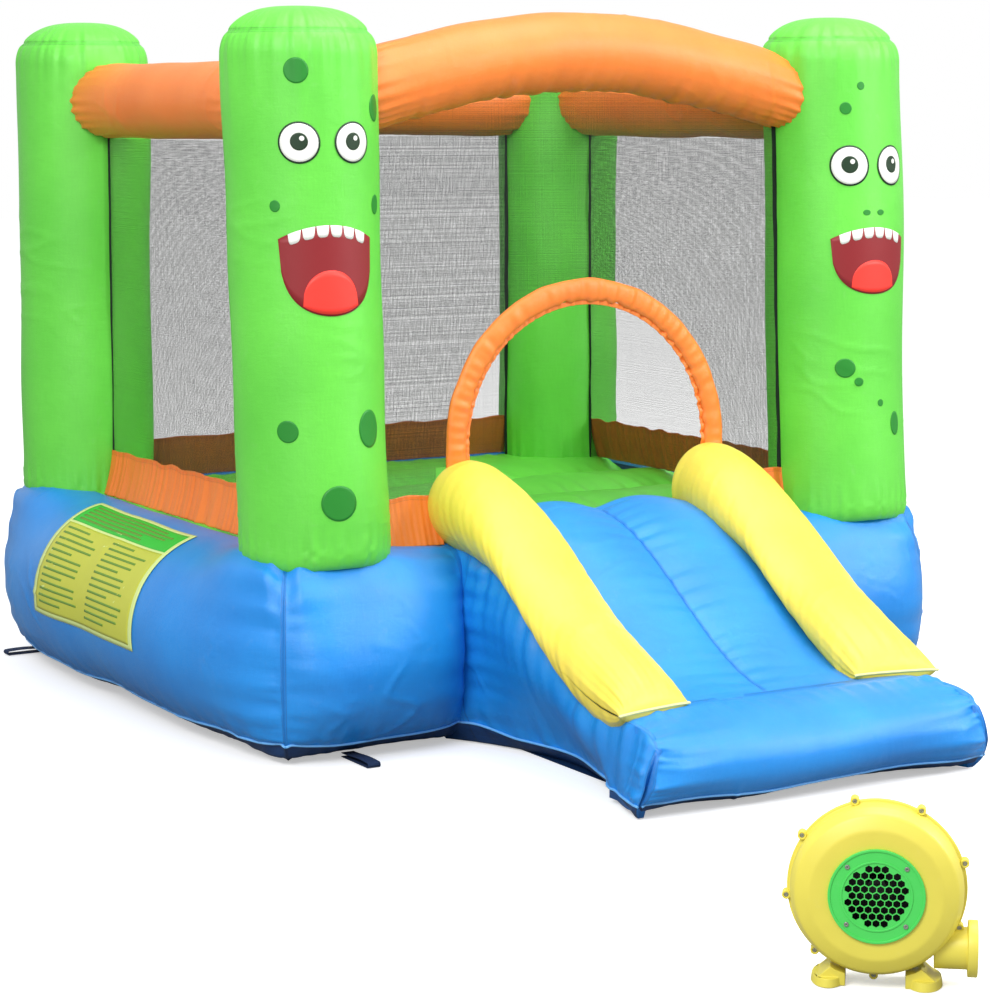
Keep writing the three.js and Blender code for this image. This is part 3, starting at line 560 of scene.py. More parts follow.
columns = {
    "rows": {"dome": 40, "wall": 150, "foot": 9},
    "around": 180,
    "domeHeight": 0.110,
    "capSeam": 0.056,       # below the top
    "wallEnd": 0.440,
    "footEnd": 0.400,       # inside the base
    "footTuck": 0.022,
    "cornerLift": 0.048,    # of the foot, on its outer sides
    "bulge": 0.0030,
    "creases": 0.0016,
    "capGathers": 0.0034,
    "footGathers": 0.0034,
}
columnPlaces = {
    "FrontLeft": (-0.75, -0.68, 11),
    "FrontRight": (0.75, -0.68, 23),
    "BackLeft": (-0.75, 0.68, 37),
    "BackRight": (0.75, 0.68, 53),
}


def columnSkin(place3, turn, radius, height, proud=0.0):
    # The tube at an angle and height, with its dents, creases and the gathers at cap and foot.
    # turn is 0 at the front and grows towards -X.
    x, y, seed = place3
    out = stack(-np.sin(turn), -np.cos(turn), 0 * turn)
    points = stack(x, y, height) + out * np.asarray(radius)[..., None]
    side = np.broadcast_arrays(radius, height)[0] / house["columnRadius"]
    belowCap = house["height"] - columns["capSeam"] - height
    aboveFoot = height - columns["wallEnd"]
    amount = columns["bulge"] * crumple(points, 0.42, seed)
    amount = amount + columns["creases"] * folds(points, 0.16, seed + 1, (1.5, 1.5, 0.55))
    amount = amount + gathers(belowCap, ringRipple(turn, 34, seed + 2), columns["capGathers"], 0.040)
    amount = amount + gathers(belowCap, ringRipple(turn, 15, seed + 3), columns["capGathers"], 0.090)
    amount = amount + gathers(aboveFoot, ringRipple(turn, 26, seed + 4), columns["footGathers"], 0.045)
    amount = amount + groove(belowCap, 0.0035, 0.006) + 0.0012
    points = points + out * ((amount * ease(0.0, 0.5, side) + proud)[..., None])
    return points, belowCap


def makeColumn(name, place3):
    rows = columns["rows"]
    up = np.linspace(0.0, pi / 2, rows["dome"])[1:]
    wall = np.linspace(house["height"] - columns["domeHeight"], columns["wallEnd"], rows["wall"])[1:]
    tuck = np.linspace(0.0, pi / 2, rows["foot"])[1:]
    footDrop = columns["wallEnd"] - columns["footEnd"]
    radius = np.concatenate([
        house["columnRadius"] * np.sin(up) ** 0.75,
        np.full(len(wall), house["columnRadius"]),
        house["columnRadius"] - columns["footTuck"] * (1 - np.cos(tuck)),
    ])
    height = np.concatenate([
        house["height"] - columns["domeHeight"] * (1 - np.cos(up)),
        wall,
        columns["wallEnd"] - footDrop * np.sin(tuck),
    ])
    turn = np.linspace(0, 2 * pi, columns["around"] + 1)
    turn, radius = np.meshgrid(turn, radius)
    height = np.broadcast_to(height[:, None], radius.shape)
    points, belowCap = columnSkin(place3, turn, radius, height)
    # On its outer sides the foot sits higher, on the blown-up shoulder of the base.
    outX, outY = np.sign(place3[:2])
    toward = np.maximum(np.maximum(-np.sin(turn) * outX, -np.cos(turn) * outY), 0) ** 0.6
    points[..., 2] += columns["cornerLift"] * toward * ease(0.60, 0.44, height)
    piece = sew(
        "column" + name, lean(points), greenCloth, slot="column_cloth", seam=belowCap,
        run=turn * house["columnRadius"], core=(place3[0], place3[1], 1.1),
        replaced=["column_" + cornerNodes[name]])
    return piece


for columnName, columnPlace in columnPlaces.items():
    makeColumn(columnName, columnPlace)
print("columns made")


# Printed faces and spots on the two front columns.

def disc(x, z, width, height, rings=8, around=40):
    # A filled ellipse: rings of points round its middle.
    share, turn = np.meshgrid(np.linspace(0, 1, rings), np.linspace(0, 2 * pi, around + 1), indexing="ij")
    return x + width * share * np.cos(turn), z + height * share * np.sin(turn)


def between(x0, x1, lower, upper, steps=44, rows=8):
    # The area between two curves, from x0 to x1.
    x, share = np.meshgrid(np.linspace(x0, x1, steps), np.linspace(0, 1, rows))
    return x, mix(lower(x), upper(x), share)


def printedPiece(name, shapes, surface, thickness=0.0004):
    # Shapes are (across, up, ink number, layer) laid on a surface; each layer lies on the one below.
    parts = []
    for across, up, ink, layer in shapes:
        points = surface(across, up, 0.0006 + 0.0005 * layer)
        quads = quadsOf(*points.shape[:2])
        flat = points.reshape(-1, 3)
        a, b, c, d = (flat[quads[:, k]] for k in range(4))
        normal = np.cross(c - a, d - b).sum(0)
        outward = surface(across[:1, :1], up[:1, :1], 0.02) - surface(across[:1, :1], up[:1, :1], 0.0)
        if normal @ outward.reshape(3) < 0:
            quads = quads[:, ::-1]
        parts.append((points, quads, ink))
    piece = assemble(name, parts, [inks[key] for key in inkOrder])
    return thicken(piece, thickness, offset=1)


inkOrder = ["spot", "mouth", "tongue", "white", "pupil", "labelEdge", "labelHead", "labelBody", "labelBar"]


def smile(x0, x1, top, depth, lift):
    # A plain open smile: the upper lip sags a little and the lower lip sags a lot.
    half = (x1 - x0) / 2
    middle = (x0 + x1) / 2

    def upper(x):
        return top + lift * ((x - middle) / half) ** 2 - lift

    def lower(x):
        return upper(x) - depth * np.sqrt(np.maximum(0, 1 - ((x - middle) / half) ** 2)) ** 0.8

    shapes = [(*between(x0, x1, lower, upper), 1, 1)]
    tongueHalf = half * 0.56
    drop = depth * 0.46

    def tongueTop(x):
        bend = np.sqrt(np.maximum(0, 1 - ((x - middle) / tongueHalf) ** 2))
        return lower(x) + 0.004 + bend * (depth - drop) * 0.9

    shapes.append((*between(middle - tongueHalf, middle + tongueHalf,
                            lambda x: lower(x) + 0.004, tongueTop), 2, 2))
    teeth = 6
    for k in range(teeth):
        left = mix(x0 + half * 0.18, x1 - half * 0.18, k / teeth) + 0.0012
        right = mix(x0 + half * 0.18, x1 - half * 0.18, (k + 1) / teeth) - 0.0012
        wide = right - left

        def tooth(x, left=left, wide=wide):
            across = np.clip((x - left) / wide * 2 - 1, -1, 1)
            return upper(x) - 0.026 * (1 - np.abs(across) ** 4) ** 0.5

        shapes.append((*between(left, right, tooth, upper, 14, 4), 3, 2))
    return shapes


def eye(x, z, size, look=(0.0, 0.0)):
    # A plain round eye: white, pupil and a small glint.
    gx, gz = x + look[0] * size, z + look[1] * size
    return [
        (*disc(x, z, size, size), 4, 1),
        (*disc(x, z, size * 0.91, size * 0.91), 3, 2),
        (*disc(gx, gz, size * 0.42, size * 0.42), 4, 3),
        (*disc(gx + size * 0.13, gz + size * 0.15, size * 0.12, size * 0.12), 3, 4),
    ]


def onColumn(place3, facing):
    # Across is metres round the column from the middle of the face, up is height.
    def surface(across, up, proud):
        turn = facing - across / house["columnRadius"]
        radius = np.full(np.shape(across), house["columnRadius"])
        return lean(columnSkin(place3, turn, radius, up, proud)[0])
    return surface


frontLeftFace = {
    "facing": math.radians(7),
    "eyes": [(-0.062, 1.40, 0.046), (0.062, 1.40, 0.046)],
    "smile": (-0.115, 0.115, 1.19, 0.20, -0.030),
    "spots": [  # across, height, half width, half height
        (-0.064, 1.556, 0.027, 0.028), (0.142, 1.475, 0.022, 0.030), (-0.120, 1.262, 0.012, 0.013),
        (0.143, 1.262, 0.016, 0.022), (-0.108, 0.764, 0.025, 0.025), (0.090, 0.764, 0.032, 0.043),
        (0.002, 0.602, 0.041, 0.040),
    ],
}
frontRightFace = {
    "facing": math.radians(2),
    "eyes": [(-0.062, 1.335, 0.050), (0.062, 1.335, 0.050)],
    "smile": (-0.112, 0.112, 1.155, 0.165, -0.028),
    "spots": [
        (-0.070, 1.475, 0.015, 0.015), (-0.030, 1.530, 0.010, 0.010), (-0.080, 0.835, 0.026, 0.024),
        (-0.045, 0.800, 0.012, 0.011), (0.075, 0.690, 0.018, 0.030), (0.020, 0.745, 0.009, 0.009),
        (-0.020, 1.220, 0.010, 0.007), (0.020, 1.220, 0.010, 0.007),
    ],
}
for faceName, face in (("FrontLeft", frontLeftFace), ("FrontRight", frontRightFace)):
    onFace = onColumn(columnPlaces[faceName], face["facing"])
    faceShapes = [(*disc(*spot), 0, 0) for spot in face["spots"]]
    for x, z, size in face["eyes"]:
        faceShapes += eye(x, z, size, (0.0, 0.05))
    faceShapes += smile(*face["smile"])
    printedPiece("face" + faceName, faceShapes, onFace)
print("faces made")


# Beams: stuffed tubes between the columns, the front one arched.

beams = {
    "radius": 0.093,
    "height": 1.492,
    "archEnd": 1.505,
    "archRise": 0.102,
    "archSpan": 0.620,
    "intoColumn": 0.014,
    "endGathers": 0.0042,
    "creases": 0.0018,
}


def archHeight(x):
    return beams["archEnd"] + beams["archRise"] * np.cos(pi * x / (2 * beams["archSpan"]))


def makeBeam(name, node, alongX, offset, arched, seed):
    along, turn = grid(170, 97)
    turn = turn * 2 * pi
    half = house["columnX"] if alongX else house["columnY"]
    radius = beams["radius"]
    side = radius * np.cos(turn)
    reach = half - np.sqrt((house["columnRadius"] - beams["intoColumn"]) ** 2 - side ** 2)
    run = mix(-1, 1, along) * reach
    fromEnd = reach - np.abs(run)
    height = archHeight(run) if arched else beams["height"]
    height = height + radius * np.sin(turn)
    points = stack(run, offset + side, height) if alongX else stack(offset + side, run, height)
    amount = gathers(fromEnd, ringRipple(turn, 17, seed), beams["endGathers"], 0.060)
    amount = amount + gathers(fromEnd, ringRipple(turn, 31, seed + 1), beams["endGathers"] * 0.7, 0.022)
    amount = amount + beams["creases"] * folds(points, 0.13, seed + 2)
    amount = amount + 0.0022 * crumple(points, 0.30, seed + 3) - 0.008 * np.exp(-fromEnd / 0.02)
    if arched:
        # The arch is cut from a curved band: the short inner edge puckers across the tube.
        under = ease(-0.2, 1.0, -np.sin(turn))
        amount = amount + 0.0020 * under * ripple(run, 0.055, seed + 4)
    seamTurn = (np.mod(turn + pi / 2, 2 * pi) - pi) * radius
    points = lean(swell(points, amount))
    piece = sew(name, points, orangeCloth, [node], "beam_cloth", seam=seamTurn, run=run)
    return piece


makeBeam("beamFrontArch", "beam_front_arch", True, -house["columnY"], True, 101)
makeBeam("beamBack", "beam_back", True, house["columnY"], False, 111)
makeBeam("beamLeft", "beam_left", False, -house["columnX"], False, 121)
makeBeam("beamRight", "beam_right", False, house["columnX"], False, 131)
print("beams made")


# Base: five side panels, piping at the hem, corner seams.

base = {
    "middle": 0.2315,
    "radius": 0.235,
    "crownX": 0.800,
    "crownFront": 0.665,
    "crownBack": 0.700,
    "reachX": 0.109,
    "reachFront": 0.174,
    "reachBack": 0.139,
    "slideHalf": 0.420,
    "joinReach": 0.135,
    "hemHeight": 0.052,
    "shoulder": 0.034,      # how far the base is blown up below a column's foot
    "lipDepth": 0.013,      # inner wall, inside the crown
    "lipTop": 0.452,
    "lipFoot": 0.004,
    "cornerGathers": 0.0085,
    "hemGathers": 0.0030,
    "puff": 0.010,
    "dents": 0.0050,
}
baseSides = {
    "left": {"out": (-1, 0), "crown": base["crownX"], "reach": base["reachX"], "seed": 211},
    "right": {"out": (1, 0), "crown": base["crownX"], "reach": base["reachX"], "seed": 223},
    "back": {"out": (0, 1), "crown": base["crownBack"], "reach": base["reachBack"], "seed": 237},
    "front": {"out": (0, -1), "crown": base["crownFront"], "reach": base["reachFront"], "seed": 251},
}


slideShare = base["slideHalf"] / (base["crownX"] + base["reachX"])


def sideSurface(name, s, angle, proud=0.0):
    # s runs from -1 to 1 between the corner seams, angle from 90 degrees at the crown to -85 at the
    # foot. A side is a full round in its middle and squarer at its corners. Also returned are the
    # distance to the nearest seam and the length along that seam.
    side = baseSides[name]
    # A front side is full between its corner seam and the seam beside the slide.
    square = np.maximum(0, np.cos(angle)) ** 0.4
    fullShare, seamReach = s, side["reach"]
    if name == "front":
        fullShare = np.clip((np.abs(s) - slideShare) / (1 - slideShare), 0, 1) * 2 - 1
        seamReach = np.where(fullShare < 0, base["joinReach"], side["reach"])
    bulge = mix(seamReach * square, base["radius"] * np.cos(angle), 1 - np.abs(fullShare) ** 5)
    if side["out"][0]:
        half = np.where(s < 0, base["crownFront"] + base["reachFront"] * square,
                        base["crownBack"] + base["reachBack"] * square)
    else:
        half = base["crownX"] + base["reachX"] * square
    run = s * half
    toCorner = half - np.abs(run)
    seam = toCorner
    if name == "front":
        seam = np.minimum(seam, np.maximum(np.abs(run) - base["slideHalf"], 0))
    length = angle * base["middle"]
    z = base["middle"] + base["middle"] * np.sin(angle) + 0.0005
    seed = side["seed"]
    plain = stack(run, bulge, z)
    amount = gathers(seam, ripple(length, 0.075, seed), base["cornerGathers"], 0.090)
    amount = amount + gathers(seam, ripple(length, 0.030, seed + 1), base["cornerGathers"] * 0.45, 0.030)
    amount = amount + base["puff"] * (1 - np.exp(-seam / 0.030)) - base["puff"] * 0.5
    toHem = (z - base["hemHeight"])
    amount = amount + gathers(toHem, ripple(run, 0.060, seed + 2), base["hemGathers"], 0.030)
    amount = amount + base["dents"] * crumple(plain, 0.42, seed + 3) * ease(0.0, 0.12, seam)
    amount = amount + 0.0034 * folds(plain, 0.20, seed + 4, (1.4, 1.0, 0.8)) * ease(0.0, 0.05, seam)
    amount = amount + 0.0016 * folds(plain, 0.09, seed + 5, (1.0, 1.0, 0.5)) * ease(0.0, 0.05, seam)
    amount = amount * ease(0.0, 0.02, seam) * (0.35 + 0.65 * ease(-1.45, -0.9, angle))
    # Below a column's foot the shoulder is blown up to meet it.
    shoulder = np.exp(-((angle - 1.02) / 0.34) ** 2) * ease(0.50, 0.80, np.abs(s)) * ease(0, 0.035, seam)
    amount = amount * (1 - 0.6 * ease(1.2, 1.57, angle)) + base["shoulder"] * shoulder + proud
    across = side["crown"] + bulge + amount * np.cos(angle)
    z = z + amount * np.sin(angle)
    if side["out"][0]:
        points = stack(side["out"][0] * across, run, z)
    else:
        points = stack(run, side["out"][1] * across, z)
    return points, seam, length


hemAngle = math.asin((base["hemHeight"] - 0.0005) / base["middle"] - 1)


def makeSide(name, part, s0, s1, rows, node):
    s = np.linspace(s0, s1, rows)
    above = np.linspace(pi / 2, hemAngle, 66)
    below = np.linspace(hemAngle, math.radians(-85), 12)[1:]
    angle, s = np.meshgrid(np.concatenate([above, below]), s)
    points, seam, length = sideSurface(name, s, angle)
    # Closes the section inside the base: a wall down from the crown's inner lip.
    side = baseSides[name]
    inside = side["crown"] - base["lipDepth"]

    def innerRow(values, z):
        spot = values.copy()
        if side["out"][0]:
            spot[..., 0] = side["out"][0] * inside
            spot[..., 1] = np.clip(spot[..., 1], -base["crownFront"] + 0.05, base["crownBack"] - 0.05)
        else:
            spot[..., 1] = side["out"][1] * inside
            spot[..., 0] = np.clip(spot[..., 0], -base["crownX"] + 0.05, base["crownX"] - 0.05)
        spot[..., 2] = z
        return spot

    points = np.concatenate([
        points, innerRow(points[:, -1:], base["lipFoot"]), innerRow(points[:, :1], base["lipTop"]),
        points[:, :1]], axis=1)

    count = points.shape[1] - 1
    # Painted shade: the rows below the hem, which turn under, get the navy cloth.
    undersideShade = np.arange(count) >= len(above) - 1
    marks = np.tile(undersideShade.astype(int), (rows - 1, 1))
    marks[:, -1] = 0
    piece = sew("base" + part, points, [blueCloth, navyCloth], [node], "base_cloth",
                core=(0, 0, 0.2), marks=marks, seam=carried(seam), run=carried(length))
    hem, _, _ = sideSurface(name, np.linspace(s0, s1, rows), np.full(rows, hemAngle), 0.0015)
    cord = piping("piping" + part, hem, 0.0032, pipingCloth, "base_cloth")
    return piece, cord


makeSide("left", "LeftSide", -1, 1, 230, "base_left_side")
makeSide("right", "RightSide", -1, 1, 230, "base_right_side")
makeSide("back", "BackSide", -1, 1, 230, "base_back_side")
makeSide("front", "FrontLeftSide", -1, -slideShare, 90, "base_front_left_side")
makeSide("front", "FrontRightSide", slideShare, 1, 90, "base_front_right_side")
print("base made")


# Printed side label: plain bars for its text.

label = {"s": (-0.36, 0.40), "angle": (1.32, -0.14), "proud": 0.0012}


def onSide(across, up, proud):
    # Across and up run from 0 to 1 over the label.
    s = mix(label["s"][0], label["s"][1], 1 - across)
    angle = mix(label["angle"][1], label["angle"][0], up)
    return sideSurface("left", s, angle, label["proud"] + proud)[0]


def patch(x0, x1, z0, z1, steps=12, rows=8):
    x, z = np.meshgrid(np.linspace(x0, x1, steps), np.linspace(z0, z1, rows))
    return x, z


labelShapes = [
    (*patch(0.0, 1.0, 0.0, 1.0, 60, 44), 5, 0),
    (*patch(0.035, 0.965, 0.74, 0.965, 50, 14), 6, 1),
    (*patch(0.035, 0.965, 0.035, 0.72, 50, 34), 7, 1),
]
barDice = np.random.default_rng(7)
for bar in range(5):
    up = 0.925 - 0.037 * bar
    right = 0.08 + barDice.uniform(0.5, 0.84)
    labelShapes.append((*patch(0.08, right, up - 0.009, up + 0.009, 24, 3), 8, 2))
for column in range(2):
    left = 0.075 + 0.45 * column
    for bar in range(13):
        up = 0.675 - 0.048 * bar
        long = 0.36 if bar % 4 else 0.22
        right = left + long * barDice.uniform(0.8, 1.0)
        labelShapes.append((*patch(left, right, up - 0.008, up + 0.008, 14, 3), 8, 2))
sideLabel = printedPiece("sideLabel", labelShapes, onSide)
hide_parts("side_label")
print("label made")


# Jump floor: four tubes from side to side.

floor = {"front": -0.6645, "back": 0.6995, "halfX": 0.792, "crown": 0.463, "valley": 0.428, "tubes": 4}
tubeWidth = (floor["back"] - floor["front"]) / floor["tubes"]
for tube in range(floor["tubes"]):
    along, across = grid(210, 49)
    x = mix(-1, 1, along) * floor["halfX"]
    y = floor["front"] + (tube + across) * tubeWidth
    toValley = np.minimum(across, 1 - across) * tubeWidth
    z = mix(floor["valley"], floor["crown"], np.sin(pi * across) ** 0.8)
    # The bed's outer edges stay level with the side tubes.
    outer = (tube == 0) * (across < 0.5) + (tube == floor["tubes"] - 1) * (across > 0.5)
    z = np.where(outer > 0, floor["crown"], z)
    valley = np.round(along * 0 + tube + across)
    waves = ripple(x + 0.31 * valley, 0.055, 301)
    z = z + gathers(toValley, waves, 0.0055, 0.060)
    z = z + 0.0020 * crumple(stack(x, y, 0), 0.30, 303) * ease(0, 0.03, toValley)
    z = z + 0.0018 * folds(stack(x, y, 0), 0.16, 305) * ease(0, 0.03, toValley)
    points = stack(x, y, z)
    low = points[:, [-1, 0]].copy()
    low[..., 2] = 0.380
    points = np.concatenate([points, low, points[:, :1]], axis=1)
    seam = carried(toValley)
    run = np.broadcast_to(x[:, :1], seam.shape)
    sew(f"jumpTube{tube + 1}", points, greenCloth, [f"jump_tube_{tube + 1}"], "column_cloth",
                  core=(0, y.mean(), 0.40), seam=seam, run=run)
print("floor made")


# Slide: two lobes, side panels, bumpers and the landing pad.

slide = {
    "top": 0.540,
    "start": -0.700,
    "end": -1.460,
    "lobeHalf": 0.265,
    "valley": 0.030,
    "gathers": 0.0026,
    "hemWaist": 0.335,
    "hemHeight": 0.034,
    "waistY": -1.100,
}
landing = {"top": 0.200, "front": -1.650, "half": 0.424, "flare": 0.056, "squeeze": 0.10, "cornerY": -1.622}
bumpers = {
    "radius": 0.107,
    "x": 0.345,
    "back": -0.640,
    "front": {"Left": -1.484, "Right": -1.440},
    "gathers": 0.0011,
}


def slideCrown(y):
    # Half a cosine wave from the doorway down to the landing.
    t = np.clip((y - slide["start"]) / (slide["end"] - slide["start"]), 0, 1)
    return landing["top"] + (slide["top"] - landing["top"]) * (0.5 + 0.5 * np.cos(pi * t))


for lobe, side, seed in (("Left", -1, 401), ("Right", 1, 411)):
    along, across = grid(230, 81)
    y = mix(-0.640, slide["end"] + 0.003, along)
    u = across * 1.16
    x = u * slide["lobeHalf"]
    inner = np.clip(u, 0, 1)
    dip = slide["valley"] * (1 - np.sin(pi * inner) ** 0.8) * mix(1, 0.25, along)
    dip = dip + 0.10 * np.maximum(0, u - 1) ** 1.2
    drop = np.clip((y - slide["start"]) / 0.062, 0, 1)
    z = slideCrown(y) - dip - 0.100 * (1 - np.sqrt(1 - drop ** 2))
    toMiddle = x    # the seam between the two lobes is at x = 0
    z = z + gathers(toMiddle, ripple(y, 0.060, 421), slide["gathers"], 0.075)
    z = z + gathers(toMiddle, ripple(y, 0.027, 422), slide["gathers"] * 0.5, 0.022)
    toLanding = y - slide["end"]
    z = z + gathers(toLanding, ripple(x, 0.055, seed), slide["gathers"] * 0.8, 0.050)
    toBumper = np.maximum(slide["lobeHalf"] - x, 0)
    z = z + gathers(toBumper, ripple(y, 0.055, seed + 1), slide["gathers"] * 0.8, 0.035)
    points = stack(side * x, y, z)
    middle = ease(0, 0.03, toMiddle) * ease(0, 0.03, toLanding)
    z = z + 0.0018 * folds(points, 0.22, seed + 2, (1.6, 0.8, 1)) * middle
    z = z + 0.0030 * crumple(points, 0.36, seed + 3) * middle
    points = stack(side * x, y, z)
    low = points[:, [-1, 0]].copy()
    low[..., 2] -= 0.050
    points = np.concatenate([points, low, points[:, :1]], axis=1)
    seam = carried(np.minimum(toMiddle, toLanding))
    run = carried(y)
    node = "slide_lobe_" + lobe.lower()
    sew("slideLobe" + lobe, points, blueCloth, [node], "base_cloth",
                  core=(0, -1.05, 0.1), seam=seam, run=run)
print("slide lobes made")


def endFlat(t):
    last = np.clip((t - 0.80) / 0.20, 0, 1)
    return (1 - last ** 2.2) ** 0.66 * 0.97 + 0.03


def bumperLine(t, front):
    # The bumper rides on the slide's edge, higher where the slide turns down. Its last part narrows
    # in height to the end seam, and lies on the landing.
    y = mix(bumpers["back"], front, t)
    rise = mix(0.006, 0.020, ease(0.0, 1.0, (y + 0.75) / -0.30))
    return y, slideCrown(y) + mix(rise, 0.004, ease(0.78, 1.0, t))


def bumperSkin(side, front, t, turn, seed, proud=0.0):
    y, z = bumperLine(t, front)
    yNext, zNext = bumperLine(t + 0.005, front)
    yLast, zLast = bumperLine(t - 0.005, front)
    slope = np.arctan2(zNext - zLast, yNext - yLast) + pi
    blunt = np.sqrt(1 - (1 - np.clip(t / 0.055, 0.02, 1)) ** 2)
    flat = endFlat(t)
    radius = bumpers["radius"] * blunt
    length = t * (bumpers["back"] - front) * 1.08
    amount = 0.0030 * crumple(stack(length, 0.06 * np.cos(turn), 0.06 * np.sin(turn)), 0.30, seed)
    under = ease(-0.4, 1.0, -np.sin(turn))
    amount = amount + bumpers["gathers"] * (0.35 + 0.65 * under) * ripple(length, 0.085, seed + 1)
    fine = ripple(length + 0.012 * np.sin(turn * 2), 0.040, seed + 2)
    amount = amount + 0.0007 * fine * np.cos(turn) ** 2
    pinch = gathers((1 - t) * 0.9, ripple(turn * bumpers["radius"], 0.034, seed + 3), 0.007, 0.060)
    amount = (amount + pinch) * np.minimum(blunt, flat ** 0.5) + proud
    up = (radius + amount) * flat * np.sin(turn)
    # The cloth spreads as it flattens, and the end seam runs a little askew.
    across = (radius * (1 - 0.04 * ease(0.80, 1.0, t)) + amount) * np.cos(turn)
    y = y - 0.20 * across * ease(0.85, 1.0, t)
    return stack(side * (bumpers["x"] + across), y + up * np.sin(slope), z + up * np.cos(slope)), length


for bumper, side, seed in (("Left", -1, 501), ("Right", 1, 521)):
    t = np.concatenate([np.linspace(0, 0.055, 14)[:-1], np.linspace(0.055, 1, 246)])
    turn, t = np.meshgrid(np.linspace(0, 2 * pi, 109), t)
    front = bumpers["front"][bumper]
    points, length = bumperSkin(side, front, t, turn, seed)
    outer = np.abs(np.mod(turn + pi + 0.55, 2 * pi) - pi) * bumpers["radius"]
    inner = np.abs(np.mod(turn - 0.55, 2 * pi) - pi) * bumpers["radius"]
    piece = sew("bumper" + bumper, points, yellowCloth, ["bumper_" + bumper.lower()], "bumper_cloth",
                seam=np.minimum(outer, inner), run=length)
    # Piping closes the end seam from edge to edge.
    line, _ = bumperSkin(side, front, np.full(60, 1.0), np.linspace(0.04, pi - 0.04, 60), seed, 0.001)
    piping("bumperPiping" + bumper, line, 0.0034, paleYellow, "bumper_cloth", 8)
print("bumpers made")


def landingEndTop(y):
    # Height of the landing's squarer end section at y.
    share = np.clip((slide["end"] - y) / (slide["end"] - landing["front"]) / (1 - landing["squeeze"]), 0, 1)
    rise = np.sqrt(1 - share ** (2 / 0.55)) ** 0.75
    return landing["top"] / 2 * (1 + rise * (1 - landing["squeeze"])), share


hemRows, footRows = 66, 12
for panel, side, seed in (("Left", -1, 551), ("Right", 1, 561)):
    down = np.concatenate([np.linspace(0, 1, hemRows), np.linspace(1, 2, footRows + 1)[1:]])
    down, along = np.meshgrid(down, np.linspace(0, 1, 270))
    y = mix(-0.735, landing["cornerY"], along)
    share = (y - bumpers["back"]) / (bumpers["front"][panel] - bumpers["back"])
    _, line = bumperLine(share, bumpers["front"][panel])
    endTop, forward = landingEndTop(y)
    top = np.maximum(line - 0.050, endTop - 0.002)
    # Above the hem the panel runs from the bumper down to the piping, below it turns under.
    under = np.maximum(down - 1, 0)
    hemZ = mix(slide["hemHeight"], base["hemHeight"], ease(-0.95, -0.80, y))
    z = mix(mix(top, hemZ, np.minimum(down, 1)), 0.003, under)
    hem = slide["hemWaist"] + np.where(y < slide["waistY"], 0.088 * ((y - slide["waistY"]) / -0.36) ** 2,
                                       0.085 * ((y - slide["waistY"]) / 0.30) ** 2)
    full = np.sin(pi * np.minimum(down, 1) ** 0.85)
    x = mix(mix(0.398, landing["half"], ease(-1.15, -1.46, y)), hem, ease(0.10, 1.0, np.minimum(down, 1)))
    x = x + full * mix(0.036, 0.012, ease(-1.20, -1.50, y))
    # Past the slide's end the panel is the landing's end, which stands out towards its foot.
    low = np.clip(1 - z / landing["top"], 0, 1)
    atLanding = landing["half"] + landing["flare"] * low ** 1.5 * forward + 0.002 + 0.012 * full
    x = np.where(y < slide["end"], atLanding, mix(x, atLanding, ease(-1.36, -1.46, y)))
    x = x - 0.026 * under ** 1.6
    toLanding = y - landing["cornerY"]
    y = y + 0.040 * np.clip(1 - z / 0.075, 0, 1) ** 1.4 * ease(-1.46, landing["cornerY"], y)
    plain = stack(x, y, z)
    toBase = np.maximum(-0.802 - y, 0)
    toHem = z - hemZ
    amount = gathers(toLanding, ripple(z, 0.034, seed), 0.0050, 0.040)
    amount = amount + gathers(toBase, ripple(z, 0.065, seed + 5), 0.0085, 0.090)
    amount = amount + gathers(z - top, ripple(y, 0.065, seed + 1), 0.0060, 0.070)
    amount = amount + gathers(toHem, ripple(y, 0.055, seed + 2), 0.0035, 0.040)
    amount = amount + 0.0060 * crumple(plain, 0.30, seed + 3) + 0.0032 * folds(plain, 0.16, seed + 4)
    amount = amount * ease(0, 0.02, toLanding) * (1 - 0.7 * under)
    points = stack(side * (x + amount), y, z)
    inside = points[:, [-1, 0]].copy()
    # Over the landing the panel is thin, further back it reaches under the slide.
    inside[..., 0] = side * np.where(y[:, [-1, 0]] < slide["end"] + 0.02, x[:, [-1, 0]] - 0.014, 0.280)
    points = np.concatenate([points, inside, points[:, :1]], axis=1)
    seam = np.minimum(np.minimum(toLanding, np.abs(y + 1.30)), np.where(toBase > 0, toBase, 1.0))
    seam, run = carried(seam), carried(z)
    # Painted shade: below the hem the turned-under cloth gets the navy cloth.
    marks = np.tile((np.arange(points.shape[1] - 1) >= hemRows - 1).astype(int), (points.shape[0] - 1, 1))
    marks[:, -2:] = 0
    node = "slide_side_" + panel.lower()
    sew("slideSide" + panel, points, [blueCloth, navyCloth], [node], "base_cloth",
                  core=(0, -1.15, 0.1), marks=marks, seam=seam, run=run)
    hemLine = points[14:, hemRows - 1].copy()
    hemLine[:, 0] += side * 0.0015
    piping("slidePiping" + panel, hemLine, 0.0030, pipingCloth, "base_cloth")
print("slide sides made")


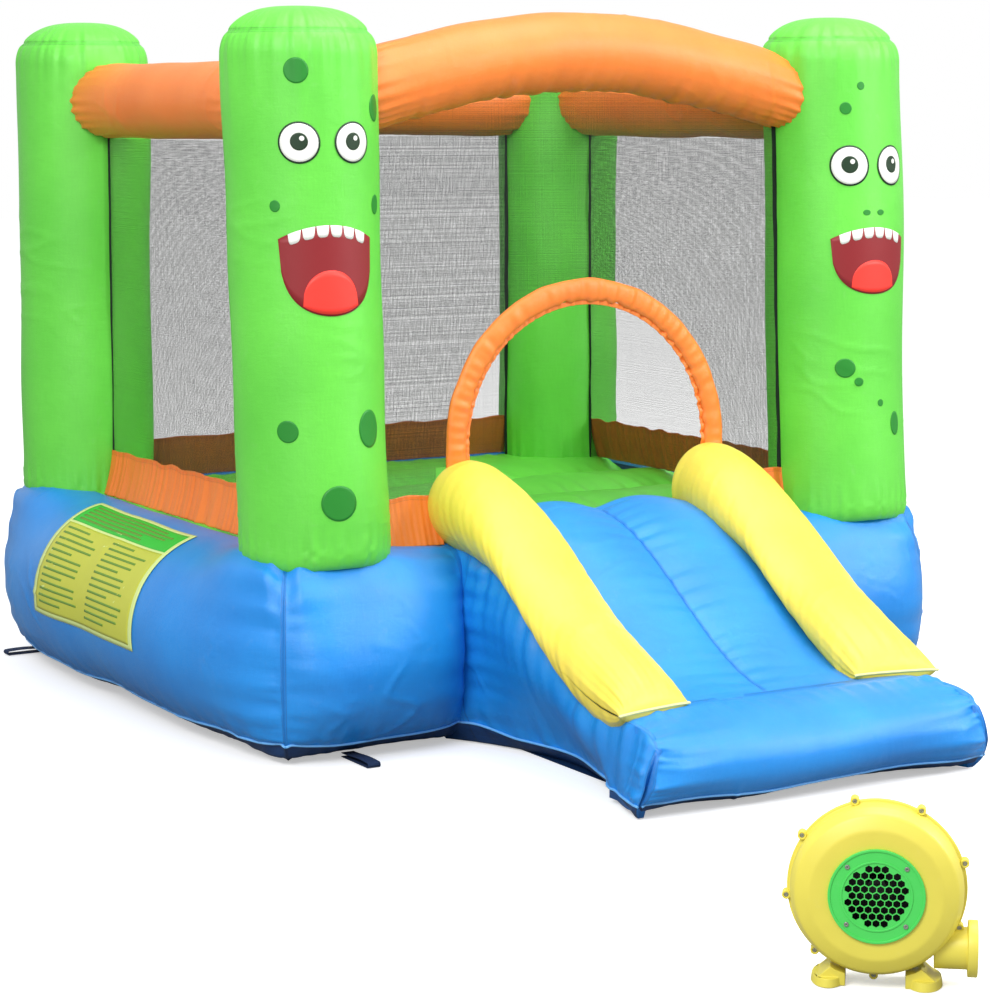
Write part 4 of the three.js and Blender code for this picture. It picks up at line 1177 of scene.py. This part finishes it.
def landingSkin(xi, turn, proud=0.0):
    # A round-fronted cushion. turn runs from 90 degrees on top over the front to -90 below; xi from
    # -1 to 1 across. The end panels are puffed, and the lower corners stand out.
    low = 0.5 - 0.5 * np.sin(turn)
    depth = slide["end"] - landing["front"]
    atEnd = ease(0.82, 1.0, np.abs(xi)) ** 1.5
    squeeze = 1 - landing["squeeze"] * atEnd
    middle = landing["top"] / 2
    forward = np.maximum(np.cos(turn), 0) ** mix(0.85, 0.55, atEnd)
    half = landing["half"] + landing["flare"] * low ** 1.5 * forward
    y = slide["end"] - depth * forward * squeeze
    upward = np.sign(np.sin(turn)) * np.abs(np.sin(turn)) ** mix(0.95, 0.75, atEnd)
    z = middle + (middle - 0.0012) * upward * squeeze
    plain = stack(xi * half, y, z)
    toEnd = (1 - np.abs(xi)) * half
    toSlide = slide["end"] - y
    amount = gathers(toEnd, ripple(turn * 0.12, 0.070, 601), 0.0075, 0.085)
    amount = amount + gathers(toEnd, ripple(turn * 0.12, 0.030, 602), 0.0040, 0.030)
    amount = amount + gathers(toSlide, ripple(xi * half, 0.060, 603), 0.0050, 0.050)
    amount = amount + 0.0050 * crumple(plain, 0.34, 604) + 0.0024 * folds(plain, 0.20, 605)
    amount = amount * ease(0, 0.03, toSlide) * ease(-1.5, -0.9, turn) * ease(0, 0.012, toEnd)
    z = z + (amount + proud) * np.sin(turn)
    y = y - (amount + proud) * np.cos(turn)
    return stack(xi * half, y, np.maximum(z, 0.0015)), toEnd


turns = np.linspace(pi / 2, -pi / 2, 96)
hemTurn = -0.72
xi = np.concatenate([-1 + 0.1 * np.linspace(0, 1, 26)[:-1] ** 1.6, np.linspace(-0.9, 0.9, 220),
                     1 - 0.1 * np.linspace(1, 0, 26)[1:] ** 1.6])
turn, across = np.meshgrid(turns, xi)
points, toEnd = landingSkin(across, turn)
back = points[:, [-1, 0]].copy()
back[..., 1] += 0.030
points = np.concatenate([points, back, points[:, :1]], axis=1)
seam, run = carried(toEnd), carried(turn * 0.12)
# Painted shade: below the hem the turned-under cloth gets the navy cloth.
marks = np.tile((np.arange(points.shape[1] - 1) >= int(np.argmin(np.abs(turns - hemTurn)))).astype(int),
                (len(xi) - 1, 1))
marks[:, -3:] = 0
sew("landingPad", points, [blueCloth, navyCloth], ["landing_pad"], "base_cloth",
              core=(0, -1.52, 0.1), marks=marks, seam=seam, run=run)
hemLine, _ = landingSkin(np.linspace(-0.995, 0.995, 240), np.full(240, hemTurn), 0.0015)
piping("landingPiping", hemLine, 0.0030, pipingCloth, "base_cloth")
print("landing made")


# Nets: threads both ways, cut to the opening.

nets = {"pitch": 0.0024, "thread": 0.00050, "jitter": 0.18, "low": 0.468, "top": 1.3985, "tape": 0.012}
netDice = np.random.default_rng(77)
hoop = {"outer": 0.395, "inner": 0.341, "spring": 0.676, "foot": 0.600, "depth": 0.014}
bumperClear = 0.424


def ribbons(starts, ends, widths):
    # One flat quad for each thread, from start to end, widened both ways.
    corners = np.stack([starts - widths, starts + widths, ends + widths, ends - widths], axis=1)
    return corners.reshape(-1, 3), np.arange(len(starts) * 4).reshape(-1, 4)


def onPlane(alongX, offset, run, z):
    return lean(stack(run, offset, z) if alongX else stack(offset, run, z))


def makeNet(name, node, alongX, offset, doorway):
    half = (house["columnX"] if alongX else house["columnY"]) - house["columnRadius"]
    pitch, thread = nets["pitch"], nets["thread"]
    runs = np.arange(-half + pitch / 2, half, pitch)
    runs = runs + netDice.uniform(-1, 1, len(runs)) * pitch * nets["jitter"]
    low = np.full_like(runs, nets["low"])
    top = np.full_like(runs, nets["top"])
    if doorway:
        span = np.abs(runs)
        arc = hoop["spring"] + np.sqrt(np.maximum(hoop["outer"] ** 2 - span ** 2, 0))
        low = np.where(span < hoop["outer"], arc, np.where(span < bumperClear, 0.640, low))
        top = archHeight(runs) - beams["radius"]
    heights = np.arange(nets["low"] + pitch / 2, top.max() - pitch, pitch)
    heights = heights + netDice.uniform(-1, 1, len(heights)) * pitch * nets["jitter"]
    left, right, level = [], [], []
    for z in heights:
        reach = half
        if doorway and z > archHeight(half) - beams["radius"]:
            share = (z + beams["radius"] - beams["archEnd"]) / beams["archRise"]
            reach = beams["archSpan"] * 2 / pi * math.acos(min(1, share))
        hole = 0.0
        if doorway:
            hole = bumperClear if z < 0.640 else hoop["outer"]
            if z > hoop["spring"]:
                hole = math.sqrt(max(hoop["outer"] ** 2 - (z - hoop["spring"]) ** 2, 0))
        if hole > 0:
            left += [-reach, hole]
            right += [-hole, reach]
            level += [z, z]
        else:
            left.append(-reach)
            right.append(reach)
            level.append(z)
    left, right, level = np.array(left), np.array(right), np.array(level)
    sideways = np.array([1.0, 0, 0] if alongX else [0, 1.0, 0]) * thread / 2
    upright = ribbons(onPlane(alongX, offset, runs, low), onPlane(alongX, offset, runs, top), sideways)
    laid = ribbons(onPlane(alongX, offset, left, level), onPlane(alongX, offset, right, level),
                   np.array([0, 0, thread / 2]))
    shift = np.array([0, 0.0005, 0] if alongX else [0.0005, 0, 0])
    net = assemble(name, [upright, (laid[0] + shift, laid[1])], [netCloth], [node], smooth=False)
    # Binding tapes sewn down both upright edges.
    tapes = []
    way = np.array([1.0, 0, 0] if alongX else [0, 1.0, 0])
    for end in (-1, 1):
        edge = end * (half - nets["tape"] / 2)
        topHere = archHeight(edge) - beams["radius"] + 0.01 if doorway else nets["top"] + 0.006
        levels = np.linspace(nets["low"] - 0.01, topHere, 60)
        wobble = 0.0012 * ripple(levels, 0.12, 700 + end)
        line = onPlane(alongX, offset, edge + wobble, levels)
        tapes.append(strapAlong(line, way, nets["tape"], 0.0016))
    for number, tape in enumerate(tapes):
        sew(f"{name}Tape{number + 1}", tape, tapeCloth, slot="net")
    return net


makeNet("netLeft", "net_left", False, -house["columnX"], False)
makeNet("netRight", "net_right", False, house["columnX"], False)
makeNet("netBack", "net_back", True, house["columnY"], False)
makeNet("netFront", "net_front", True, -house["columnY"], True)
print("nets made")


# Skirts outside the nets.

skirts = {"top": 0.578, "foot": 0.462, "spread": 0.030, "thickness": 0.0007, "wave": 0.0030}


def makeSkirt(name, node, alongX, offset, outSign, low, high, seed):
    along, down = grid(220, 30)
    run = mix(low, high, along)
    away = mix(0.003, skirts["spread"], down ** 1.5)
    away = away + skirts["wave"] * ripple(run, 0.070, seed) * (0.25 + 0.75 * down)
    away = np.maximum(away + 0.0016 * ripple(run, 0.024, seed + 1), 0.0022)
    z = mix(skirts["top"], skirts["foot"], down) + 0.0025 * ripple(run, 0.11, seed + 2) * (1 - down)
    out = offset + outSign * away
    points = lean(stack(run, out, z) if alongX else stack(out, run, z))
    toTop = down * (skirts["top"] - skirts["foot"])
    piece = sew(name, points, orangeCloth, [node], "beam_cloth", closed=False,
                core=(0, 0, 0.5), seam=toTop - 0.006, run=run)
    thicken(piece, skirts["thickness"])
    # rests_on names the left base side for every skirt, though each lies on its own.
    return piece


skirtX = house["columnX"] - house["columnRadius"] + 0.006
skirtY = house["columnY"] - house["columnRadius"] + 0.006
makeSkirt("skirtLeft", "skirt_left", False, -house["columnX"], -1, -skirtY, skirtY, 801)
makeSkirt("skirtRight", "skirt_right", False, house["columnX"], 1, -skirtY, skirtY, 811)
makeSkirt("skirtBack", "skirt_back", True, house["columnY"], 1, -skirtX, skirtX, 821)
makeSkirt("skirtFrontLeft", "skirt_front_left", True, -house["columnY"], -1, -skirtX, -bumperClear, 831)
makeSkirt("skirtFrontRight", "skirt_front_right", True, -house["columnY"], -1, bumperClear, skirtX, 841)


# Doorway hoop: a flat stuffed tube with a ruffled binding inside it.

middle = (hoop["outer"] + hoop["inner"]) / 2
straight = hoop["spring"] - hoop["foot"]
length = np.linspace(0, 2 * straight + pi * middle, 260)
bend = np.clip((length - straight) / middle, 0, pi)
lineX = -middle * np.cos(bend)
lineZ = hoop["spring"] + middle * np.sin(bend)
lineZ = lineZ - np.maximum(straight - length, 0) - np.maximum(length - straight - pi * middle, 0)
awayX, awayZ = -np.cos(bend), np.sin(bend)
turn, run = np.meshgrid(np.linspace(0, 2 * pi, 49), length)
halfWidth = (hoop["outer"] - hoop["inner"]) / 2
inward = ease(-0.3, 1, -np.cos(turn))
wide = halfWidth + 0.0022 * ripple(run, 0.034, 851) * inward + 0.0012 * ripple(run, 0.090, 852)
deep = hoop["depth"] + 0.0020 * ripple(run, 0.040, 853) * ease(0, 1, np.abs(np.sin(turn)))
reach = wide * np.sign(np.cos(turn)) * np.abs(np.cos(turn)) ** 0.9
points = stack(lineX[:, None] + awayX[:, None] * reach, -house["columnY"] + deep * np.sin(turn),
               lineZ[:, None] + awayZ[:, None] * reach)
sew("doorwayHoop", lean(points), orangeCloth, ["doorway_hoop"], "beam_cloth",
              seam=np.abs(np.mod(turn, 2 * pi) - pi) * 0.02 + 0.001, run=run)
ruffle = 0.0030 * ripple(length, 0.020, 861)
innerLine = stack(lineX - awayX * (halfWidth + 0.003), -house["columnY"] + ruffle,
                  lineZ - awayZ * (halfWidth + 0.003))
sew("hoopBinding", lean(strapAlong(innerLine, stack(awayX, 0 * awayX, awayZ), 0.012, 0.0016)),
    orangeCloth, slot="beam_cloth", seam=np.ones((260, 13)), run=np.ones((260, 13)))
print("skirts and hoop made")


# Ground sheet, anchor loops, inlet sleeve and zip.

groundOutline = [
    (-0.812, 0.712), (-0.812, -0.677), (-0.333, -0.677), (-0.333, -1.500),
    (0.333, -1.500), (0.333, -0.677), (0.812, -0.677), (0.812, 0.712),
]
groundMesh = bpy.data.meshes.new("groundSheet")
groundMesh.from_pydata([(x, y, 0.0010) for x, y in groundOutline], [], [tuple(range(8))])
groundPiece = place("groundSheet", groundMesh, [navyCloth], ["ground_sheet"], smooth=False)
thicken(groundPiece, 0.0010)

anchors = {"length": 0.088, "height": 0.013, "width": 0.032, "strap": 0.002}
anchorPlaces = {
    "FrontLeft": (-0.712, -0.812, -90),
    "FrontRight": (0.880, -0.742, 0),
    "BackLeft": (-0.880, 0.762, 180),
    "BackRight": (0.880, 0.762, 0),
}
for anchorName, (x, y, degrees) in anchorPlaces.items():
    bend = np.linspace(pi / 2, -pi / 2, 20)
    loopHalf = (anchors["height"] - anchors["strap"]) / 2
    far = anchors["length"] - anchors["height"] / 2
    flatRun = np.linspace(-0.045, far, 24)[:-1]
    alongLoop = np.concatenate([flatRun, far + loopHalf * np.cos(bend), flatRun[::-1]])
    sag = 0.0016 * np.sin(flatRun / 0.026)
    heightLoop = np.concatenate([
        anchors["height"] - anchors["strap"] / 2 + sag, anchors["height"] / 2 + loopHalf * np.sin(bend),
        np.full(len(flatRun), anchors["strap"] / 2 + 0.0006)])
    angle = math.radians(degrees)
    line = stack(x + alongLoop * math.cos(angle), y + alongLoop * math.sin(angle), heightLoop)
    acrossWay = (-math.sin(angle), math.cos(angle), 0)
    node = "anchor_loop_" + cornerNodes[anchorName]
    sew("anchorLoop" + anchorName, strapAlong(line, acrossWay, anchors["width"], anchors["strap"]),
        strapCloth, [node], "webbing")

sleeve = {"x": -0.350, "z": 0.078, "radius": 0.054, "start": 0.84, "end": 1.040, "strap": 0.985}
along, turn = grid(90, 97)
turn = turn * 2 * pi
y = mix(sleeve["start"], sleeve["end"], along)
pull = 0.0035 * np.exp(-((y - sleeve["strap"]) / 0.016) ** 2)
radius = sleeve["radius"] - pull + 0.0016 * ringRipple(turn, 9, 871) * ease(0.90, 1.04, y)
radius = radius + 0.0012 * ringRipple(turn + y * 6, 17, 872)
points = stack(sleeve["x"] + radius * np.cos(turn), y, sleeve["z"] + radius * np.sin(turn))
sleevePiece = thicken(sew("inletSleeve", points, blueCloth, ["inlet_sleeve"], "base_cloth", closed=False,
                          seam=sleeve["end"] - 0.008 - y, run=turn * sleeve["radius"]), 0.0008)
turn = np.linspace(0, 2 * pi, 97)
line = stack(sleeve["x"] + 0.0536 * np.cos(turn), sleeve["strap"] + 0 * turn,
             sleeve["z"] + 0.0536 * np.sin(turn))
tail = np.linspace(0, 1, 30)
tailLine = stack(sleeve["x"] + 0.056 + 0.004 * np.sin(tail * 5), sleeve["strap"] + 0.006 * tail,
                 sleeve["z"] - 0.062 * tail)
sew("sleeveStrap", strapAlong(line, (0, 1, 0), 0.024, 0.0016), strapCloth, ["sleeve_strap"], "webbing")
sew("strapTail", strapAlong(tailLine, (0, 1, 0), 0.022, 0.0014), strapCloth, slot="webbing")

tapeLow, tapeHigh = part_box("zip_tape")
zipStrip = {"low": tapeLow.x, "high": tapeHigh.x, "face": tapeLow.y, "z": (tapeLow.z + tapeHigh.z) / 2}
run, up = grid(120, 14)
x = mix(zipStrip["low"], zipStrip["high"], run)
z = zipStrip["z"] + mix(-0.017, 0.017, up)
y = zipStrip["face"] + 0.0004 + 0.0009 * np.exp(-((z - zipStrip["z"]) / 0.004) ** 2)
tape = sew("zipTape", stack(x, y, z), tapeCloth, ["zip_tape"], "webbing", closed=False, core=(0, 0, 0.2),
           seam=np.abs(z - zipStrip["z"]) - 0.012, run=x)
thicken(tape, 0.0010)
teethX = np.arange(zipStrip["low"] + 0.008, zipStrip["high"] - 0.008, 0.0022)
tooth = np.array([[a, b, c] for a in (-0.0007, 0.0007)
                  for b in (0.0010, 0.0033) for c in (-0.0029, 0.0029)])
toothFaces = np.array([[0, 1, 3, 2], [4, 6, 7, 5], [0, 4, 5, 1], [2, 3, 7, 6], [0, 2, 6, 4], [1, 5, 7, 3]])
teeth = [(tooth + [x, zipStrip["face"], zipStrip["z"]], toothFaces) for x in teethX]
assemble("zipTeeth", teeth, [blackPlastic], smooth=False)
print("back pieces made")


# Blower: moulded halves, duct, grille, feet and screws.

blower = {
    "place": (-0.695, -2.685),
    "turn": math.radians(-38.8),
    "scroll": 0.167,
    "around": 144,
    "screwRadius": 0.1535,
    "screwAngles": (18, 62, 105, 146, 187, 228, 269, 335),
    "grilleScrews": 0.070,
}


def toBlower(points):
    # From the blower's own frame, intake towards -Y and centre of the scroll at the origin.
    c, s = math.cos(blower["turn"]), math.sin(blower["turn"])
    x, y, z = points[..., 0], points[..., 1], points[..., 2]
    return stack(c * x - s * y + blower["place"][0], s * x + c * y + blower["place"][1],
                 z + blower["scroll"])


def rounded(profile, size, steps=4):
    # Cuts each corner of a closed outline back by size, with a curve through the cut.
    corners = np.asarray(profile, float)
    made = []
    for k, corner in enumerate(corners):
        before, after = corners[k - 1] - corner, corners[(k + 1) % len(corners)] - corner
        cut = min(size, np.linalg.norm(before) * 0.45, np.linalg.norm(after) * 0.45)
        a = corner + before / np.linalg.norm(before) * cut
        b = corner + after / np.linalg.norm(after) * cut
        for t in np.linspace(0, 1, steps):
            made.append((1 - t) ** 2 * a + 2 * t * (1 - t) * corner + t * t * b)
    return np.array(made + made[:1])


def turnedAbout(axis, profile, around, centre=(0, 0, 0)):
    # Turns an outline of (radius, distance along the axis) about X or Y.
    angle, row = np.meshgrid(np.linspace(0, 2 * pi, around + 1), np.arange(len(profile)), indexing="ij")
    radius, far = profile[row, 0], profile[row, 1]
    if axis == "Y":
        points = stack(radius * np.cos(angle), far, radius * np.sin(angle))
    else:
        points = stack(far, radius * np.cos(angle), radius * np.sin(angle))
    return points + np.array(centre)


def partOf(points):
    flat = points.reshape(-1, 3)
    return flat, facingOut(flat, quadsOf(*points.shape[:2]), flat.mean(0))


def moulded(name, points, material, replaced=(), body="house"):
    flat, quads = partOf(points)
    mesh = bpy.data.meshes.new(name)
    mesh.from_pydata(flat.tolist(), [], quads.tolist())
    return place(name, mesh, [material], replaced, body)


def bore(piece, cutter):
    # Cuts a hole with a body that is then thrown away.
    cut = piece.modifiers.new("bore", "BOOLEAN")
    cut.operation, cut.solver, cut.object = "DIFFERENCE", "EXACT", cutter
    view = bpy.context.evaluated_depsgraph_get()
    old, piece.data = piece.data, bpy.data.meshes.new_from_object(piece.evaluated_get(view))
    piece.modifiers.remove(cut)
    bpy.data.meshes.remove(old)
    bpy.data.objects.remove(cutter)
    piece.data.set_sharp_from_angle(angle=math.radians(38))


def halfProfile(side, hole):
    return rounded([
        (hole, side * 0.062), (0.112, side * 0.062), (0.137, side * 0.051), (0.146, side * 0.030),
        (0.146, side * 0.0042), (0.152, side * 0.0042), (0.152, side * 0.0003), (0.1435, side * 0.0003),
        (0.1435, side * 0.0292), (0.1354, side * 0.0490), (0.1114, side * 0.0595), (hole, side * 0.0595),
    ], 0.004)


def solidBar(name, profile, axis, around, centre):
    points = toBlower(turnedAbout(axis, np.array(profile), around, centre))
    return moulded(name, points, shellPlastic)


for half, side, hole in (("Front", -1, 0.057), ("Back", 1, 0.050)):
    shell = moulded("blower" + half, toBlower(turnedAbout("Y", halfProfile(side, hole), blower["around"])),
                    shellPlastic, ["blower_" + half.lower() + "_half"])
    cutter = solidBar("cutter", [(0, 0.04), (0.0364, 0.04), (0.0364, 0.20), (0, 0.20)], "X", 64,
                      (0, 0, 0.065 - blower["scroll"]))
    bore(shell, cutter)
ductProfile = rounded([(0.0335, 0.098), (0.0360, 0.098), (0.0360, 0.154), (0.0485, 0.154),
                       (0.0485, 0.171), (0.0335, 0.171)], 0.0022)
moulded("blowerDuct", toBlower(turnedAbout("X", ductProfile, 96, (0, 0, 0.065 - blower["scroll"]))),
        shellPlastic, ["outlet_duct"])


def washer(radius, inner, y0, y1, x, z, size=0.0008, around=32):
    profile = rounded([(inner, y0), (radius, y0), (radius, y1), (inner, y1)], size)
    return toBlower(turnedAbout("Y", profile, around, (x, 0, z)))


# Screw bosses round the rim, with a pan-head screw sunk into each, and four screws in the grille.
bosses, screws = [], []
for degrees in blower["screwAngles"]:
    x = blower["screwRadius"] * math.cos(math.radians(degrees))
    z = blower["screwRadius"] * math.sin(math.radians(degrees))
    bosses.append(partOf(washer(0.0076, 0.0040, -0.0105, 0.0105, x, z, 0.0012)))
    screws.append(partOf(washer(0.0038, 0.0009, -0.0096, -0.0070, x, z, 0.0007, 24)))
assemble("rimBosses", bosses, [shellPlastic])
for degrees in (45, 135, 225, 315):
    x = blower["grilleScrews"] * math.cos(math.radians(degrees))
    z = blower["grilleScrews"] * math.sin(math.radians(degrees))
    screws.append(partOf(washer(0.0042, 0.0010, -0.0675, -0.0652, x, z, 0.0008, 24)))
assemble("screws", screws, [screwSteel])
ring = [partOf(washer(0.0815, 0.0770, -0.0672, -0.0651, 0, 0, 0.0010, 128)),
        partOf(washer(0.0610, 0.0575, -0.0668, -0.0651, 0, 0, 0.0008, 112))]
assemble("grilleRings", ring, [grillePlastic])


def hardCopy(name, node, material, edge):
    # A copy of a CAD node with its corners rounded.
    mesh = frame["nodes"][node].data.copy()
    mesh.materials.clear()
    while mesh.uv_layers:
        mesh.uv_layers.remove(mesh.uv_layers[0])
    work = bmesh.new()
    work.from_mesh(mesh)
    bmesh.ops.remove_doubles(work, verts=work.verts, dist=1e-5)
    flat = [e for e in work.edges if len(e.link_faces) == 2 and e.calc_face_angle(0) < math.radians(1.5)]
    bmesh.ops.dissolve_edges(work, edges=flat, use_verts=True)
    work.to_mesh(mesh)
    work.free()
    mesh.polygons.foreach_set("use_smooth", [True] * len(mesh.polygons))
    if mesh.has_custom_normals:
        mesh.attributes.remove(mesh.attributes["custom_normal"])
    mesh.materials.append(material)
    piece = bpy.data.objects.new(name, mesh)
    bpy.context.scene.collection.objects.link(piece)
    bevel = piece.modifiers.new("edges", "BEVEL")
    bevel.width, bevel.segments, bevel.limit_method = edge, 3, "ANGLE"
    bevel.angle_limit, bevel.harden_normals = math.radians(40), True
    body = next(k for k, b in frame["bodies"].items() if frame["nodes"][node].parent is b)
    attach(piece, body)
    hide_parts(node)
    return piece


hardCopy("footLeft", "blower_foot_left", shellPlastic, 0.0022)
hardCopy("footRight", "blower_foot_right", shellPlastic, 0.0022)
hardCopy("switchBox", "switch_box", blackPlastic, 0.0016)


def dress(node, material):
    # A hard CAD part is shown as it is, in its real material.
    shown = frame["nodes"][node]
    shown.data.materials.clear()
    shown.data.materials.append(material)


for node, material, slotName in (
        ("intake_grille", grillePlastic, "grille_plastic"), ("impeller", blackPlastic, "black_plastic"),
        ("motor", blackPlastic, "black_plastic"), ("lead_gland", blackPlastic, "black_plastic"),
        ("rocker_switch", redPlastic, "switch_plastic"), ("zip_slider", steel, "zip_metal"),
        ("zip_pull", steel, "zip_metal"), ("baffle_1", blueCloth, "base_cloth"),
        ("baffle_2", blueCloth, "base_cloth"), ("baffle_3", blueCloth, "base_cloth"),
        ("slide_baffle", blueCloth, "base_cloth")):
    dress(node, material)
print("blower made")


# Floor, light and camera.

def floorMaterial():
    # White paper: seen bright, but it throws little light back up under the house.
    made, tree, surface = start("paleFloor")
    seen = put(tree, "ShaderNodeLightPath").outputs["Is Camera Ray"]
    shade = blendColour(tree, seen, (0.30, 0.30, 0.30, 1), (0.86, 0.86, 0.86, 1))
    tree.links.new(shade, surface.inputs["Base Color"])
    tree.links.new(spread(tree, seen, 0.0, 1.0, 0.0, 0.43), surface.inputs["Emission Strength"])
    surface.inputs["Roughness"].default_value = 0.9
    surface.inputs["Specular IOR Level"].default_value = 0.1
    surface.inputs["Emission Color"].default_value = (1, 1, 1, 1)
    return made


floorMesh = bpy.data.meshes.new("studioFloor")
floorHalf, floorLevel = 30, -0.0008
floorCorners = [(x * floorHalf, y * floorHalf, floorLevel) for x, y in ((-1, -1), (1, -1), (1, 1), (-1, 1))]
floorMesh.from_pydata(floorCorners, [], [(0, 1, 2, 3)])
floorMesh.materials.append(floorMaterial())
studioFloor = bpy.data.objects.new("studioFloor", floorMesh)
bpy.context.scene.collection.objects.link(studioFloor)

world = bpy.data.worlds.new("studio")
bpy.context.scene.world = world
world.use_nodes = True
# The backdrop is seen pure white, and lights the house a little less.
sky = world.node_tree.nodes["Background"]
sky.inputs["Color"].default_value = (1.0, 1.0, 1.0, 1)
seen = put(world.node_tree, "ShaderNodeLightPath").outputs["Is Camera Ray"]
world.node_tree.links.new(spread(world.node_tree, seen, 0.0, 1.0, 0.70, 1.0), sky.inputs["Strength"])

lights = {
    # place, aimed at, size in metres, watts
    "softboxLeft": ((-4.6, -4.2, 4.2), (0, 0, 0.8), 2.4, 255),
    "softboxTop": ((0.6, -1.6, 5.2), (0, -0.3, 0.5), 3.0, 150),
    "softboxRight": ((3.6, -4.6, 3.4), (0.2, -0.4, 0.9), 2.0, 190),
}
for lightName, (spot, aim, size, power) in lights.items():
    lamp = bpy.data.lights.new(lightName, "AREA")
    lamp.size, lamp.energy = size, power
    lampObject = bpy.data.objects.new(lightName, lamp)
    way = np.array(aim) - np.array(spot)
    lampObject.location = spot
    lampObject.rotation_euler = Vector(way).to_track_quat("-Z", "Y").to_euler()
    bpy.context.scene.collection.objects.link(lampObject)

view = {"place": (-3.539, -6.245, 1.4675), "down": 8.11, "right": 30.45, "lens": 98.3, "sensor": 36}
camera = bpy.data.cameras.new("camera")
camera.sensor_width = view["sensor"]
camera.lens = view["lens"]
camera.clip_end = 100
cameraObject = bpy.data.objects.new("camera", camera)
cameraObject.location = view["place"]
cameraObject.rotation_euler = (math.radians(90 - view["down"]), 0, math.radians(-view["right"]))
bpy.context.scene.collection.objects.link(cameraObject)
bpy.context.scene.camera = cameraObject
bpy.context.scene.view_settings.view_transform = "Standard"
